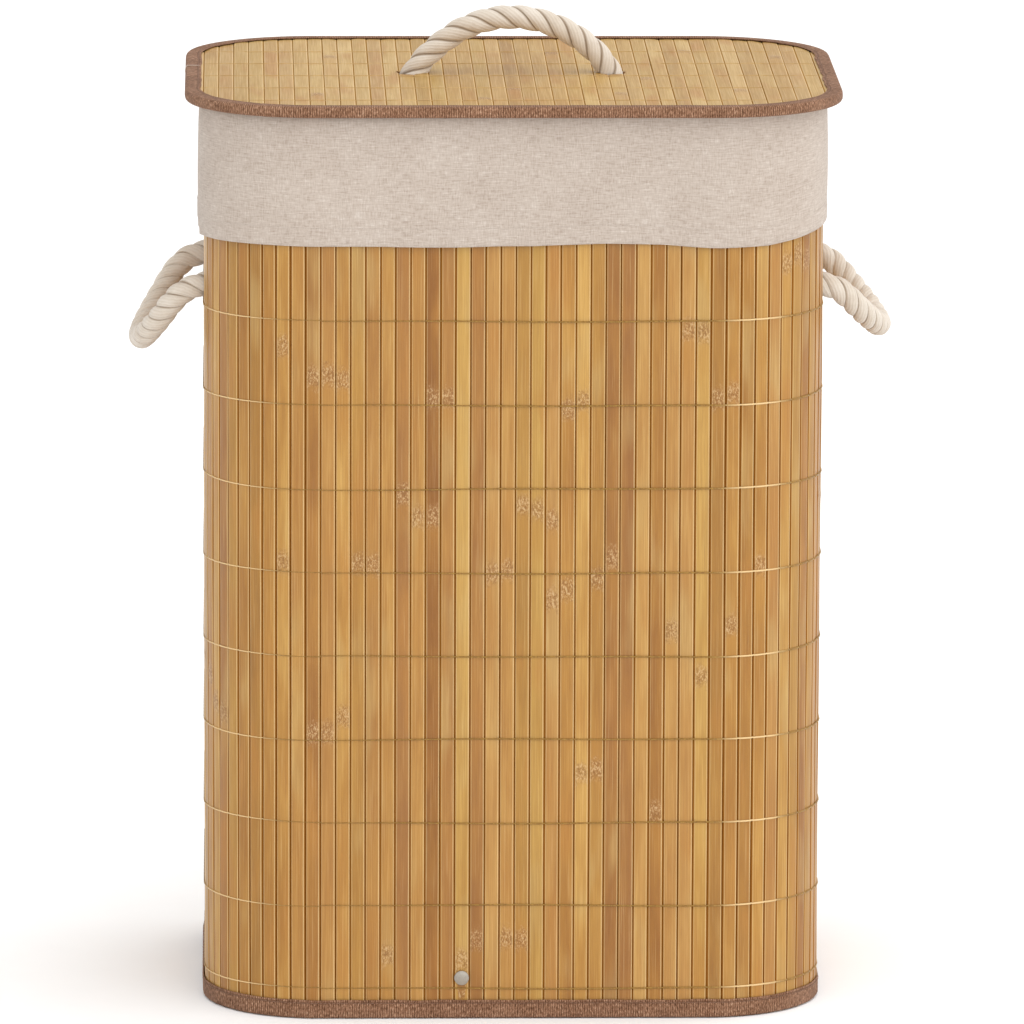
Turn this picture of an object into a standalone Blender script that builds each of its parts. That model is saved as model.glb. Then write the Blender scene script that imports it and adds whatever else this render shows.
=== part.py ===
"""Foldable bamboo laundry hamper with a lift-off lid, a removable cloth liner and rope handles.

Frame: origin on the floor under the middle of the basket, +X to the right, +Y to the back, +Z up.
Sizes are metres. Distances named "inset" are measured inwards from the slats' outer face.
"""

import math

import bmesh
import bpy
from mathutils import Matrix, Vector

GAP = 0.0003

# Basket wall
WIDTH = 0.400
DEPTH = 0.300
CORNER_RADIUS = 0.075
CORNER_STEPS = 6
SLAT_THICKNESS = 0.0026
GROOVE_HALF_WIDTH = 0.0006
GROOVE_DEPTH = 0.0020
LONG_SIDE_SLATS = 26
SHORT_SIDE_SLATS = 15
SLATS_PER_CORNER_STEP = 2
SLAT_BOTTOM = 0.0011
SLAT_TOP = 0.5875

# Cloth and tape
BACKING_THICKNESS = 0.0006
TAPE_THICKNESS = 0.0008
BOTTOM_TAPE_HEIGHT = 0.0140
TOP_TAPE_HEIGHT = 0.0120
HOOP_DIAMETER = 0.0030

# Threads that tie the slats
THREAD_THICKNESS = 0.0008
WALL_THREAD_ROWS = 11
WALL_THREAD_FIRST = 0.0215
WALL_THREAD_PITCH = 0.0545

# Base
BASE_BOARD_THICKNESS = 0.0030
BASE_CLOTH_THICKNESS = 0.0006
BASE_TAPE_WIDTH = 0.0120
TAB_WIDTH = 0.0300
TAB_REACH = 0.0260
TAB_HEIGHT = 0.0340

# Rivets that hold the base tabs
RIVET_X = 0.0337
RIVET_Z = 0.0266
RIVET_CAP_RADIUS = 0.0048
RIVET_CAP_HEIGHT = 0.0016
RIVET_SHANK_RADIUS = 0.0020
RIVET_HOLE_RADIUS = 0.0023
RIVET_HEAD_RADIUS = 0.0034
WASHER_THICKNESS = 0.0008

# Liner
CUFF_THICKNESS = 0.0014
CUFF_BOTTOM = 0.4960
LINER_THICKNESS = 0.0010
LINER_JOIN = 0.5600
LINER_SHOULDER = 0.4950
LINER_HALF_WIDTH = 0.1715
LINER_HALF_DEPTH = 0.1350
LINER_CORNER_RADIUS = 0.0560

# Lid
LID_WIDTH = 0.424
LID_DEPTH = 0.326
LID_CORNER_RADIUS = 0.084
LID_TAPE_THICKNESS = 0.0006
LID_TAPE_WIDTH = 0.0105
LID_LINING_THICKNESS = 0.0005
LID_BOARD_THICKNESS = 0.0020
LID_SLAT_THICKNESS = 0.0022
LID_SLAT_PITCH = 0.00975
LID_GROOVE_DEPTH = 0.0014
LID_THREAD_ROWS = 5
LID_THREAD_FIRST = -0.124
LID_THREAD_PITCH = 0.0545

# Rope handles
ROPE_RADIUS = 0.0077
ROPE_HOLE_RADIUS = 0.0081
ROPE_POINTS = 19
KNOT_RADIUS = 0.0140
KNOT_LENGTH = 0.0200
KNOT_TAIL = 0.0030
SIDE_HOLE_Y = 0.064
SIDE_HOLE_Z = 0.4675
SIDE_PIVOT_OUT = 0.0125
SIDE_LOOP_REACH = 0.0289
LEFT_LOOP_LENGTH = 0.053
RIGHT_LOOP_LENGTH = 0.046
LID_HOLE_X = 0.066
LID_PIVOT_UP = 0.0084
LID_LOOP_HEIGHT = 0.0275

# Heights worked out from the sizes above
RIM_TOP = SLAT_TOP + GAP + TAPE_THICKNESS
LID_BOTTOM = RIM_TOP + GAP + LINER_THICKNESS + GAP
LID_LINING_Z = LID_BOTTOM + LID_TAPE_THICKNESS + GAP
LID_BOARD_Z = LID_LINING_Z + LID_LINING_THICKNESS + GAP
LID_SLAT_Z = LID_BOARD_Z + LID_BOARD_THICKNESS + GAP
LID_SLAT_TOP = LID_SLAT_Z + LID_SLAT_THICKNESS
LID_TOP = LID_SLAT_TOP + GAP + LID_TAPE_THICKNESS
BASE_TAPE_BOTTOM = 0.0010
BASE_BOARD_Z = BASE_TAPE_BOTTOM + TAPE_THICKNESS + GAP
BASE_CLOTH_Z = BASE_BOARD_Z + BASE_BOARD_THICKNESS + GAP
BASE_TAPE_TOP = BASE_CLOTH_Z + BASE_CLOTH_THICKNESS + GAP + TAPE_THICKNESS
TAB_TOP = BASE_TAPE_TOP + GAP + TAPE_THICKNESS
LINER_BOTTOM = TAB_TOP + GAP

# Insets worked out from the sizes above
BACKING_INSET = SLAT_THICKNESS + GAP
WALL_INNER_INSET = BACKING_INSET + BACKING_THICKNESS
HOOP_INSET = WALL_INNER_INSET + GAP
RIM_TAPE_INSET = HOOP_INSET + HOOP_DIAMETER + GAP
LINER_TOP_INSET = RIM_TAPE_INSET + TAPE_THICKNESS + GAP
BOTTOM_TAPE_INSET = WALL_INNER_INSET + GAP
TAB_INSET = BOTTOM_TAPE_INSET + TAPE_THICKNESS + GAP
BASE_INSET = TAB_INSET + TAPE_THICKNESS + GAP
CUFF_INSET = -(2 * GAP + TAPE_THICKNESS)

BAMBOO = ((0.52, 0.29, 0.105), 0.55, 0.0)
PALE_BAMBOO = ((0.60, 0.42, 0.19), 0.55, 0.0)
BROWN_TAPE = ((0.29, 0.165, 0.10), 0.85, 0.0)
LINEN = ((0.62, 0.53, 0.45), 0.90, 0.0)
GREY_CLOTH = ((0.42, 0.37, 0.31), 0.90, 0.0)
THREAD = ((0.64, 0.44, 0.20), 0.45, 0.0)
ROPE = ((0.74, 0.62, 0.47), 0.90, 0.0)
HARDBOARD = ((0.26, 0.16, 0.09), 0.75, 0.0)
STEEL = ((0.55, 0.54, 0.52), 0.35, 1.0)


# ---------------------------------------------------------------- helpers

def new_collection(name):
    collection = bpy.data.collections.new(name)
    bpy.context.scene.collection.children.link(collection)
    return collection


def make_material(name, look):
    color, roughness, metallic = look
    material = bpy.data.materials.new(name)
    material.use_nodes = True
    shader = material.node_tree.nodes["Principled BSDF"]
    shader.inputs["Base Color"].default_value = (*color, 1.0)
    shader.inputs["Roughness"].default_value = roughness
    shader.inputs["Metallic"].default_value = metallic
    return material


def add_object(name, data, look=None):
    """Link a part with its own material, or a hidden guide when no look is given."""
    item = bpy.data.objects.new(name, data)
    if look is None:
        guides.objects.link(item)
        item.hide_render = True
        item.display_type = "WIRE"
    else:
        parts.objects.link(item)
        data.materials.append(make_material(name, look))
    return item


def flat_curve(name, points, closed=True):
    curve = bpy.data.curves.new(name, "CURVE")
    curve.dimensions = "2D"
    spline = curve.splines.new("POLY")
    spline.points.add(len(points) - 1)
    for spline_point, (x, y) in zip(spline.points, points):
        spline_point.co = (x, y, 0.0, 1.0)
    spline.use_cyclic_u = closed
    return curve


def as_mesh(item, look=None, merge_caps=False):
    """Replace a curve object by its evaluated mesh, with the caps welded on."""
    evaluated = item.evaluated_get(bpy.context.evaluated_depsgraph_get())
    mesh = bpy.data.meshes.new_from_object(evaluated)
    shape = bmesh.new()
    shape.from_mesh(mesh)
    bmesh.ops.remove_doubles(shape, verts=shape.verts, dist=0.00001)
    if merge_caps:
        bmesh.ops.dissolve_limit(shape, angle_limit=0.001, verts=shape.verts, edges=shape.edges)
    bmesh.ops.recalc_face_normals(shape, faces=shape.faces)
    shape.to_mesh(mesh)
    shape.free()
    mesh.materials.clear()
    name, matrix = item.name, item.matrix_world.copy()
    curve = item.data
    bpy.data.objects.remove(item)
    bpy.data.curves.remove(curve)
    mesh_item = add_object(name, mesh, look)
    mesh_item.matrix_world = matrix
    return mesh_item


def plate(name, points, bottom, thickness, look):
    """A flat sheet with the given outline, lying between two heights."""
    curve = flat_curve(name, points)
    curve.fill_mode = "BOTH"
    curve.extrude = thickness / 2
    item = add_object(name, curve)
    item.location.z = bottom + thickness / 2
    bpy.context.view_layer.update()
    return as_mesh(item, look, merge_caps=True)


def rounded_rectangle(width, depth, radius, inset=0.0):
    """Corner points of a rounded rectangle, counter-clockwise from the front right corner."""
    points = []
    for corner, (side_x, side_y) in enumerate(((1, -1), (1, 1), (-1, 1), (-1, -1))):
        centre_x = side_x * (width / 2 - radius)
        centre_y = side_y * (depth / 2 - radius)
        for step in range(CORNER_STEPS + 1):
            angle = math.radians(90 * (corner - 1) + 90 * step / CORNER_STEPS)
            reach = radius - inset
            points.append((centre_x + reach * math.cos(angle), centre_y + reach * math.sin(angle)))
    return points


def wall_ring(inset):
    return rounded_rectangle(WIDTH, DEPTH, CORNER_RADIUS, inset)


def swept_band(name, outline, profile, look):
    """Sweep a closed profile of (inset, height) points round a level closed outline."""
    section = add_object(name + "_section", flat_curve(name + "_section", [(-a, z) for a, z in profile]))
    path = flat_curve(name, outline)
    path.dimensions = "3D"
    path.twist_mode = "Z_UP"
    path.bevel_mode = "OBJECT"
    path.bevel_object = section
    item = add_object(name, path)
    bpy.context.view_layer.update()
    return as_mesh(item, look)


def box_profile(inset_out, inset_in, bottom, top):
    return [(inset_out, top), (inset_out, bottom), (inset_in, bottom), (inset_in, top)]


def channel_profile(outer, inner, wall, closed_z, outer_end, inner_end):
    """A U-shaped section: a web at closed_z joining an outer and an inner flap."""
    up = 1 if outer_end > closed_z else -1
    return [
        (outer - wall, outer_end), (outer - wall, closed_z), (inner + wall, closed_z),
        (inner + wall, inner_end), (inner, inner_end), (inner, closed_z + up * wall),
        (outer, closed_z + up * wall), (outer, outer_end),
    ]


def edge_profile(inset, wall, width, bottom, top):
    """A C-shaped section: tape folded round a board's edge, with flaps above and below."""
    return [
        (inset, top), (inset, bottom), (width, bottom), (width, bottom + wall),
        (inset + wall, bottom + wall), (inset + wall, top - wall), (width, top - wall), (width, top),
    ]


def turned(name, profile, steps, look, axis_matrix, ring=False):
    """Turn a profile of (radius, height) points about its local Z axis; a ring's profile is closed."""
    mesh = bpy.data.meshes.new(name)
    shape = bmesh.new()
    corners = [shape.verts.new((radius, 0.0, height)) for radius, height in profile]
    followers = corners[1:] + corners[:1] if ring else corners[1:]
    for first, second in zip(corners, followers):
        shape.edges.new((first, second))
    shape.to_mesh(mesh)
    shape.free()
    item = add_object(name, mesh, look)
    screw = item.modifiers.new("Turn", "SCREW")
    screw.steps = steps
    screw.render_steps = steps
    screw.use_merge_vertices = True
    screw.merge_threshold = 0.00001
    item.matrix_world = axis_matrix
    return item


def rope_loop(name, points, look, origin, parent_matrix):
    """A rope along the points, which are given about its own pivot."""
    curve = bpy.data.curves.new(name, "CURVE")
    curve.dimensions = "3D"
    curve.bevel_depth = ROPE_RADIUS
    curve.bevel_resolution = 2
    curve.use_fill_caps = True
    spline = curve.splines.new("POLY")
    spline.points.add(len(points) - 1)
    for spline_point, point in zip(spline.points, points):
        spline_point.co = (*point, 1.0)
    item = add_object(name, curve)
    item.matrix_world = Matrix.Translation(origin) @ parent_matrix
    bpy.context.view_layer.update()
    return as_mesh(item, look)


def cylinder_cutter(name, radius, length, location, axis, sides=16):
    mesh = bpy.data.meshes.new(name)
    shape = bmesh.new()
    bmesh.ops.create_cone(shape, cap_ends=True, segments=sides, radius1=radius, radius2=radius, depth=length)
    shape.to_mesh(mesh)
    shape.free()
    cutter = add_object(name, mesh)
    cutter.location = location
    cutter.rotation_mode = "QUATERNION"
    cutter.rotation_quaternion = Vector((0, 0, 1)).rotation_difference(Vector(axis))
    return cutter


def cut(item, cutter, operation="DIFFERENCE", solver="EXACT"):
    boolean = item.modifiers.new(cutter.name, "BOOLEAN")
    boolean.operation = operation
    boolean.solver = solver
    boolean.object = cutter


def between(first, second, share):
    return tuple(a + (b - a) * share for a, b in zip(first, second))


def moved_towards(first, second, distance):
    return between(first, second, distance / math.dist(first, second))


# ---------------------------------------------------------------- basket

def slat_panel(name, first_corner, segments, slats_per_segment):
    """A run of slats joined by a thin web, with a groove between each two."""
    outer_ring = wall_ring(0.0)
    groove_ring = wall_ring(GROOVE_DEPTH)
    inner_ring = wall_ring(SLAT_THICKNESS)
    count = len(outer_ring)
    corners = [(first_corner + step) % count for step in range(segments + 1)]
    outline = []
    for start, end in zip(corners, corners[1:]):
        for slat in range(slats_per_segment):
            here, there = slat / slats_per_segment, (slat + 1) / slats_per_segment
            left = between(outer_ring[start], outer_ring[end], here)
            right = between(outer_ring[start], outer_ring[end], there)
            outline.append(moved_towards(left, right, GROOVE_HALF_WIDTH))
            outline.append(moved_towards(right, left, GROOVE_HALF_WIDTH))
            if end != corners[-1] or slat < slats_per_segment - 1:
                outline.append(between(groove_ring[start], groove_ring[end], there))
    inner = [inner_ring[corner] for corner in reversed(corners)]
    inner[0] = moved_towards(inner[0], inner[1], GAP / 2)
    inner[-1] = moved_towards(inner[-1], inner[-2], GAP / 2)
    return plate(name, outline + inner, SLAT_BOTTOM, SLAT_TOP - SLAT_BOTTOM, BAMBOO)


def make_wall():
    """Eight runs of slats, and the holes for the side ropes and the rivets."""
    side_names = ("right", "back", "left", "front")
    corner_names = ("front_right", "back_right", "back_left", "front_left")
    slat_counts = {"right": SHORT_SIDE_SLATS, "left": SHORT_SIDE_SLATS,
                   "back": LONG_SIDE_SLATS, "front": LONG_SIDE_SLATS}
    panels = {}
    for number, (corner_name, side_name) in enumerate(zip(corner_names, side_names)):
        first = number * (CORNER_STEPS + 1)
        slat_panel("corner_slats_" + corner_name, first, CORNER_STEPS, SLATS_PER_CORNER_STEP)
        panels[side_name] = slat_panel("slats_" + side_name, first + CORNER_STEPS, 1, slat_counts[side_name])
    backing = swept_band("wall_backing", wall_ring(0.0), box_profile(
        BACKING_INSET, WALL_INNER_INSET, SLAT_BOTTOM, SLAT_TOP), GREY_CLOTH)
    for side_name, side in (("right", 1), ("left", -1)):
        for end_name, end in (("front", -1), ("rear", 1)):
            hole = cylinder_cutter("rope_hole_" + side_name + "_" + end_name, ROPE_HOLE_RADIUS, 0.04,
                                   (side * WIDTH / 2, end * SIDE_HOLE_Y, SIDE_HOLE_Z), (1, 0, 0))
            cut(panels[side_name], hole)
            cut(backing, hole)
    for side_name, end in (("front", -1), ("back", 1)):
        hole = cylinder_cutter("rivet_hole_" + side_name, RIVET_HOLE_RADIUS, 0.02,
                               (end * RIVET_X, end * DEPTH / 2, RIVET_Z), (0, 1, 0), sides=10)
        cut(panels[side_name], hole, solver="MANIFOLD")
        cut(backing, hole)


def make_wall_trim():
    """The tapes on the wall's edges, the hoop in the rim and the threads round the slats."""
    outline = wall_ring(0.0)
    swept_band("bottom_binding", outline, channel_profile(
        -GAP, BOTTOM_TAPE_INSET, TAPE_THICKNESS, 0.0, BOTTOM_TAPE_HEIGHT, BOTTOM_TAPE_HEIGHT), BROWN_TAPE)
    swept_band("rim_binding", outline, channel_profile(
        -GAP, RIM_TAPE_INSET, TAPE_THICKNESS, RIM_TOP,
        RIM_TOP - TOP_TAPE_HEIGHT, RIM_TOP - TOP_TAPE_HEIGHT), BROWN_TAPE)
    hoop_radius = HOOP_DIAMETER / 2
    hoop_z = SLAT_TOP - HOOP_DIAMETER
    hoop = []
    for corner in range(6):
        angle = math.radians(90 + 60 * corner)
        inset = HOOP_INSET + hoop_radius - hoop_radius * math.cos(angle)
        hoop.append((inset, hoop_z + hoop_radius * math.sin(angle)))
    swept_band("rim_hoop", outline, hoop, STEEL)
    for row in range(WALL_THREAD_ROWS):
        z = WALL_THREAD_FIRST + row * WALL_THREAD_PITCH
        swept_band(f"wall_thread_{row + 1:02d}", outline, box_profile(
            -GAP - THREAD_THICKNESS, -GAP, z - THREAD_THICKNESS / 2, z + THREAD_THICKNESS / 2), THREAD)


def make_base():
    """A cloth-covered board with a taped edge, lying inside the foot of the wall."""
    board_outline = wall_ring(BASE_INSET + TAPE_THICKNESS + GAP)
    plate("base_board", board_outline, BASE_BOARD_Z, BASE_BOARD_THICKNESS, HARDBOARD)
    plate("base_cloth", board_outline, BASE_CLOTH_Z, BASE_CLOTH_THICKNESS, GREY_CLOTH)
    edge = edge_profile(
        BASE_INSET, TAPE_THICKNESS, BASE_INSET + BASE_TAPE_WIDTH, BASE_TAPE_BOTTOM, BASE_TAPE_TOP)
    swept_band("base_binding", wall_ring(0.0), edge, BROWN_TAPE)


def make_base_tab(name, end):
    """A strap from the base's edge up the inside of the wall, held there by a rivet."""
    wall_y = DEPTH / 2 - TAB_INSET
    profile = [
        (wall_y, TAB_HEIGHT), (wall_y, BASE_TAPE_TOP + GAP),
        (wall_y - TAB_REACH, BASE_TAPE_TOP + GAP), (wall_y - TAB_REACH, TAB_TOP),
        (wall_y - TAPE_THICKNESS, TAB_TOP), (wall_y - TAPE_THICKNESS, TAB_HEIGHT),
    ]
    curve = flat_curve(name, profile)
    curve.fill_mode = "BOTH"
    curve.extrude = TAB_WIDTH / 2
    item = add_object(name, curve)
    stand = Matrix(((0, 0, 1, 0), (1, 0, 0, 0), (0, 1, 0, 0), (0, 0, 0, 1)))
    turn = Matrix.Rotation(0.0 if end > 0 else math.pi, 4, "Z")
    item.matrix_world = turn @ Matrix.Translation((RIVET_X, 0, 0)) @ stand
    bpy.context.view_layer.update()
    tab = as_mesh(item, BROWN_TAPE, merge_caps=True)
    hole = bpy.data.objects["rivet_hole_" + ("back" if end > 0 else "front")]
    cut(tab, hole)


def make_rivet(name, end):
    """A domed rivet through the wall and the tab, with its head rolled over a washer."""
    cap_seat = GAP * 2 + THREAD_THICKNESS
    washer_seat = -(TAB_INSET + TAPE_THICKNESS + GAP)
    head_seat = washer_seat - WASHER_THICKNESS - GAP
    head_height = 0.0010
    cap_top = cap_seat + RIVET_CAP_HEIGHT
    profile = [(0.0, cap_top)]
    for degrees in (25, 50, 75):
        angle = math.radians(degrees)
        height = RIVET_CAP_HEIGHT * math.sqrt(math.cos(angle))
        profile.append((RIVET_CAP_RADIUS * math.sin(angle), cap_seat + height))
    profile += [
        (RIVET_CAP_RADIUS, cap_seat), (RIVET_SHANK_RADIUS, cap_seat), (RIVET_SHANK_RADIUS, head_seat),
        (RIVET_HEAD_RADIUS, head_seat), (RIVET_SHANK_RADIUS, head_seat - head_height),
        (0.0, head_seat - head_height),
    ]
    facing = Matrix.Rotation(math.radians(-90 * end), 4, "X")
    place = Matrix.Translation((end * RIVET_X, end * DEPTH / 2, RIVET_Z)) @ facing
    turned(name, profile, 12, STEEL, place)
    washer_back = washer_seat - WASHER_THICKNESS
    washer = [
        (RIVET_HOLE_RADIUS, washer_seat), (RIVET_CAP_RADIUS, washer_seat),
        (RIVET_CAP_RADIUS, washer_back), (RIVET_HOLE_RADIUS, washer_back),
    ]
    turned(name + "_washer", washer, 12, STEEL, place, ring=True)


# ---------------------------------------------------------------- liner

def make_liner():
    """The removable bag: a turned-over cuff, the side cloth and the bottom cloth."""
    cuff = [
        (CUFF_INSET - CUFF_THICKNESS, LID_BOTTOM - GAP), (CUFF_INSET - CUFF_THICKNESS, CUFF_BOTTOM),
        (CUFF_INSET, CUFF_BOTTOM), (CUFF_INSET, RIM_TOP + GAP), (LINER_TOP_INSET, RIM_TOP + GAP),
        (LINER_TOP_INSET, LINER_JOIN), (LINER_TOP_INSET + LINER_THICKNESS, LINER_JOIN),
        (LINER_TOP_INSET + LINER_THICKNESS, LID_BOTTOM - GAP),
    ]
    swept_band("liner_cuff", wall_ring(0.0), cuff, LINEN)
    top = (WIDTH / 2 - LINER_TOP_INSET, DEPTH / 2 - LINER_TOP_INSET, CORNER_RADIUS - LINER_TOP_INSET)
    waist = (LINER_HALF_WIDTH, LINER_HALF_DEPTH, LINER_CORNER_RADIUS)
    side_bottom = LINER_BOTTOM + LINER_THICKNESS + GAP
    outer_sections = [(LINER_JOIN - GAP, top), (LINER_SHOULDER, waist), (side_bottom, waist)]
    rings = []
    for z, (half_x, half_y, radius) in outer_sections:
        rings.append([(x, y, z) for x, y in rounded_rectangle(2 * half_x, 2 * half_y, radius)])
    for z, (half_x, half_y, radius) in reversed(outer_sections):
        inner = rounded_rectangle(2 * half_x, 2 * half_y, radius, LINER_THICKNESS)
        rings.append([(x, y, z) for x, y in inner])
    lofted_tube("liner_side", rings, LINEN)
    bottom_outline = rounded_rectangle(2 * LINER_HALF_WIDTH, 2 * LINER_HALF_DEPTH, LINER_CORNER_RADIUS)
    plate("liner_bottom", bottom_outline, LINER_BOTTOM, LINER_THICKNESS, LINEN)


def lofted_tube(name, rings, look):
    """Join closed rings of equal count into a wall that goes down outside and up inside."""
    mesh = bpy.data.meshes.new(name)
    shape = bmesh.new()
    levels = [[shape.verts.new(point) for point in ring] for ring in rings]
    for upper, lower in zip(levels, levels[1:] + levels[:1]):
        for index in range(len(upper)):
            following = (index + 1) % len(upper)
            shape.faces.new((upper[index], lower[index], lower[following], upper[following]))
    bmesh.ops.recalc_face_normals(shape, faces=shape.faces)
    shape.to_mesh(mesh)
    shape.free()
    return add_object(name, mesh, look)


# ---------------------------------------------------------------- lid

def lid_ring(inset):
    return rounded_rectangle(LID_WIDTH, LID_DEPTH, LID_CORNER_RADIUS, inset)


def make_lid_slats():
    """Slats from front to back on one web, trimmed to the lid's rounded outline."""
    slat_count = math.ceil(LID_WIDTH / LID_SLAT_PITCH) + 1
    half_width = slat_count * LID_SLAT_PITCH / 2
    profile = []
    for slat in range(slat_count):
        left = -half_width + slat * LID_SLAT_PITCH
        right = left + LID_SLAT_PITCH
        profile.append((left + GROOVE_HALF_WIDTH, LID_SLAT_THICKNESS))
        profile.append((right - GROOVE_HALF_WIDTH, LID_SLAT_THICKNESS))
        if slat < slat_count - 1:
            profile.append((right, LID_SLAT_THICKNESS - LID_GROOVE_DEPTH))
    profile += [(half_width, 0.0), (-half_width, 0.0)]
    curve = flat_curve("lid_slats", profile)
    curve.fill_mode = "BOTH"
    curve.extrude = LID_DEPTH
    item = add_object("lid_slats", curve)
    item.matrix_world = Matrix.Translation((0, 0, LID_SLAT_Z)) @ Matrix.Rotation(math.pi / 2, 4, "X")
    bpy.context.view_layer.update()
    slats = as_mesh(item, PALE_BAMBOO, merge_caps=True)
    inset = LID_TAPE_THICKNESS + GAP
    trim = plate("lid_trim_shape", lid_ring(inset), LID_SLAT_Z - 0.01, 0.03, None)
    cut(slats, trim, "INTERSECT")
    return slats


def make_lid():
    """The slatted lid: lining, board, slats, edge tape and the threads across the slats."""
    inner_outline = lid_ring(LID_TAPE_THICKNESS + GAP)
    lining = plate("lid_lining", inner_outline, LID_LINING_Z, LID_LINING_THICKNESS, GREY_CLOTH)
    board = plate("lid_board", inner_outline, LID_BOARD_Z, LID_BOARD_THICKNESS, HARDBOARD)
    slats = make_lid_slats()
    for side_name, side in (("left", -1), ("right", 1)):
        hole = cylinder_cutter("lid_rope_hole_" + side_name, ROPE_HOLE_RADIUS, 0.04,
                               (side * LID_HOLE_X, 0, LID_BOARD_Z), (0, 0, 1))
        for layer in (lining, board, slats):
            cut(layer, hole)
    swept_band("lid_binding", lid_ring(0.0), edge_profile(
        0.0, LID_TAPE_THICKNESS, LID_TAPE_WIDTH, LID_BOTTOM, LID_TOP), BROWN_TAPE)
    thread_z = LID_SLAT_TOP + GAP
    for row in range(LID_THREAD_ROWS):
        y = LID_THREAD_FIRST + row * LID_THREAD_PITCH
        half_length = lid_thread_half_length(y)
        corners = [(-half_length, y - THREAD_THICKNESS / 2), (half_length, y - THREAD_THICKNESS / 2),
                   (half_length, y + THREAD_THICKNESS / 2), (-half_length, y + THREAD_THICKNESS / 2)]
        plate(f"lid_thread_{row + 1}", corners, thread_z, LID_TAPE_THICKNESS, THREAD)


def lid_thread_half_length(y):
    """How far a thread reaches each way before the edge tape, at the given depth."""
    radius = LID_CORNER_RADIUS - LID_TAPE_WIDTH
    beyond = max(0.0, abs(y) + THREAD_THICKNESS - (LID_DEPTH / 2 - LID_CORNER_RADIUS))
    reach = math.sqrt(radius ** 2 - beyond ** 2) * math.cos(math.pi / 4 / CORNER_STEPS)
    return LID_WIDTH / 2 - LID_CORNER_RADIUS + reach - 2 * GAP


# ---------------------------------------------------------------- ropes

def knot_profile(stub_top, seat):
    """Radius and height of a rope end: a stub, a round knot below the seat, and a short tail."""
    knot_middle = seat - KNOT_LENGTH / 2
    profile = [(0.0, stub_top), (ROPE_RADIUS, stub_top), (ROPE_RADIUS, seat)]
    for degrees in (30, 60, 90, 120, 150):
        angle = math.radians(degrees)
        radius = ROPE_RADIUS + (KNOT_RADIUS - ROPE_RADIUS) * math.sin(angle)
        profile.append((radius, knot_middle + KNOT_LENGTH / 2 * math.cos(angle)))
    tail = seat - KNOT_LENGTH - KNOT_TAIL
    profile += [(ROPE_RADIUS * 0.8, seat - KNOT_LENGTH), (ROPE_RADIUS * 0.8, tail), (0.0, tail)]
    return profile


def half_ellipse(half_width, height):
    """Loop points in the local XY plane, from one pivot end to the other."""
    points = []
    for index in range(ROPE_POINTS):
        angle = math.pi * index / (ROPE_POINTS - 1)
        points.append((half_width * math.cos(angle), height * math.sin(angle), 0.0))
    return points


def make_side_handle(side_name, side, length):
    """A rope loop on one side, drooping from its pivot, and its two knotted ends."""
    pivot_x = side * (WIDTH / 2 + SIDE_PIVOT_OUT)
    across = Vector((0, 1, 0))
    droop = math.acos(SIDE_LOOP_REACH / length)
    outwards = Vector((side * math.cos(droop), 0, -math.sin(droop)))
    frame = Matrix((across, outwards, across.cross(outwards))).transposed().to_4x4()
    rope_loop(side_name + "_handle_rope", half_ellipse(SIDE_HOLE_Y, length), ROPE,
              (pivot_x, 0, SIDE_HOLE_Z), frame)
    facing = Matrix.Rotation(math.radians(90 * side), 4, "Y")
    knot = knot_profile(SIDE_PIVOT_OUT - ROPE_RADIUS - GAP, -WALL_INNER_INSET - GAP)
    for end_name, end in (("front", -1), ("rear", 1)):
        place = Matrix.Translation((side * WIDTH / 2, end * SIDE_HOLE_Y, SIDE_HOLE_Z)) @ facing
        turned(side_name + "_knot_" + end_name, knot, 12, ROPE, place)


def make_lid_handle():
    """A rope arch on the lid and its two knotted ends under it."""
    upright = Matrix.Rotation(math.pi / 2, 4, "X")
    pivot_z = LID_SLAT_TOP + LID_PIVOT_UP
    rope_loop("lid_handle_rope", half_ellipse(LID_HOLE_X, LID_LOOP_HEIGHT), ROPE, (0, 0, pivot_z), upright)
    knot = knot_profile(pivot_z - ROPE_RADIUS - GAP, LID_LINING_Z - GAP)
    for side_name, side in (("left", -1), ("right", 1)):
        place = Matrix.Translation((side * LID_HOLE_X, 0, 0))
        turned("lid_knot_" + side_name, knot, 12, ROPE, place)


# ---------------------------------------------------------------- build

for old_object in list(bpy.data.objects):
    bpy.data.objects.remove(old_object)

parts = new_collection("laundry_hamper")
guides = new_collection("guides")

make_wall()
make_wall_trim()
make_base()
for rivet_name, rivet_end in (("front", -1), ("back", 1)):
    make_base_tab("base_tab_" + rivet_name, rivet_end)
    make_rivet("rivet_" + rivet_name, rivet_end)
make_liner()
make_lid()
make_side_handle("left", -1, LEFT_LOOP_LENGTH)
make_side_handle("right", 1, RIGHT_LOOP_LENGTH)
make_lid_handle()
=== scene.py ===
"""Looks for the laundry hamper: slats on threads, a linen liner with a cuff, taped edges and cotton ropes."""

import math

import bmesh
import bpy
import numpy as np
from mathutils import Matrix, Vector


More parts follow.
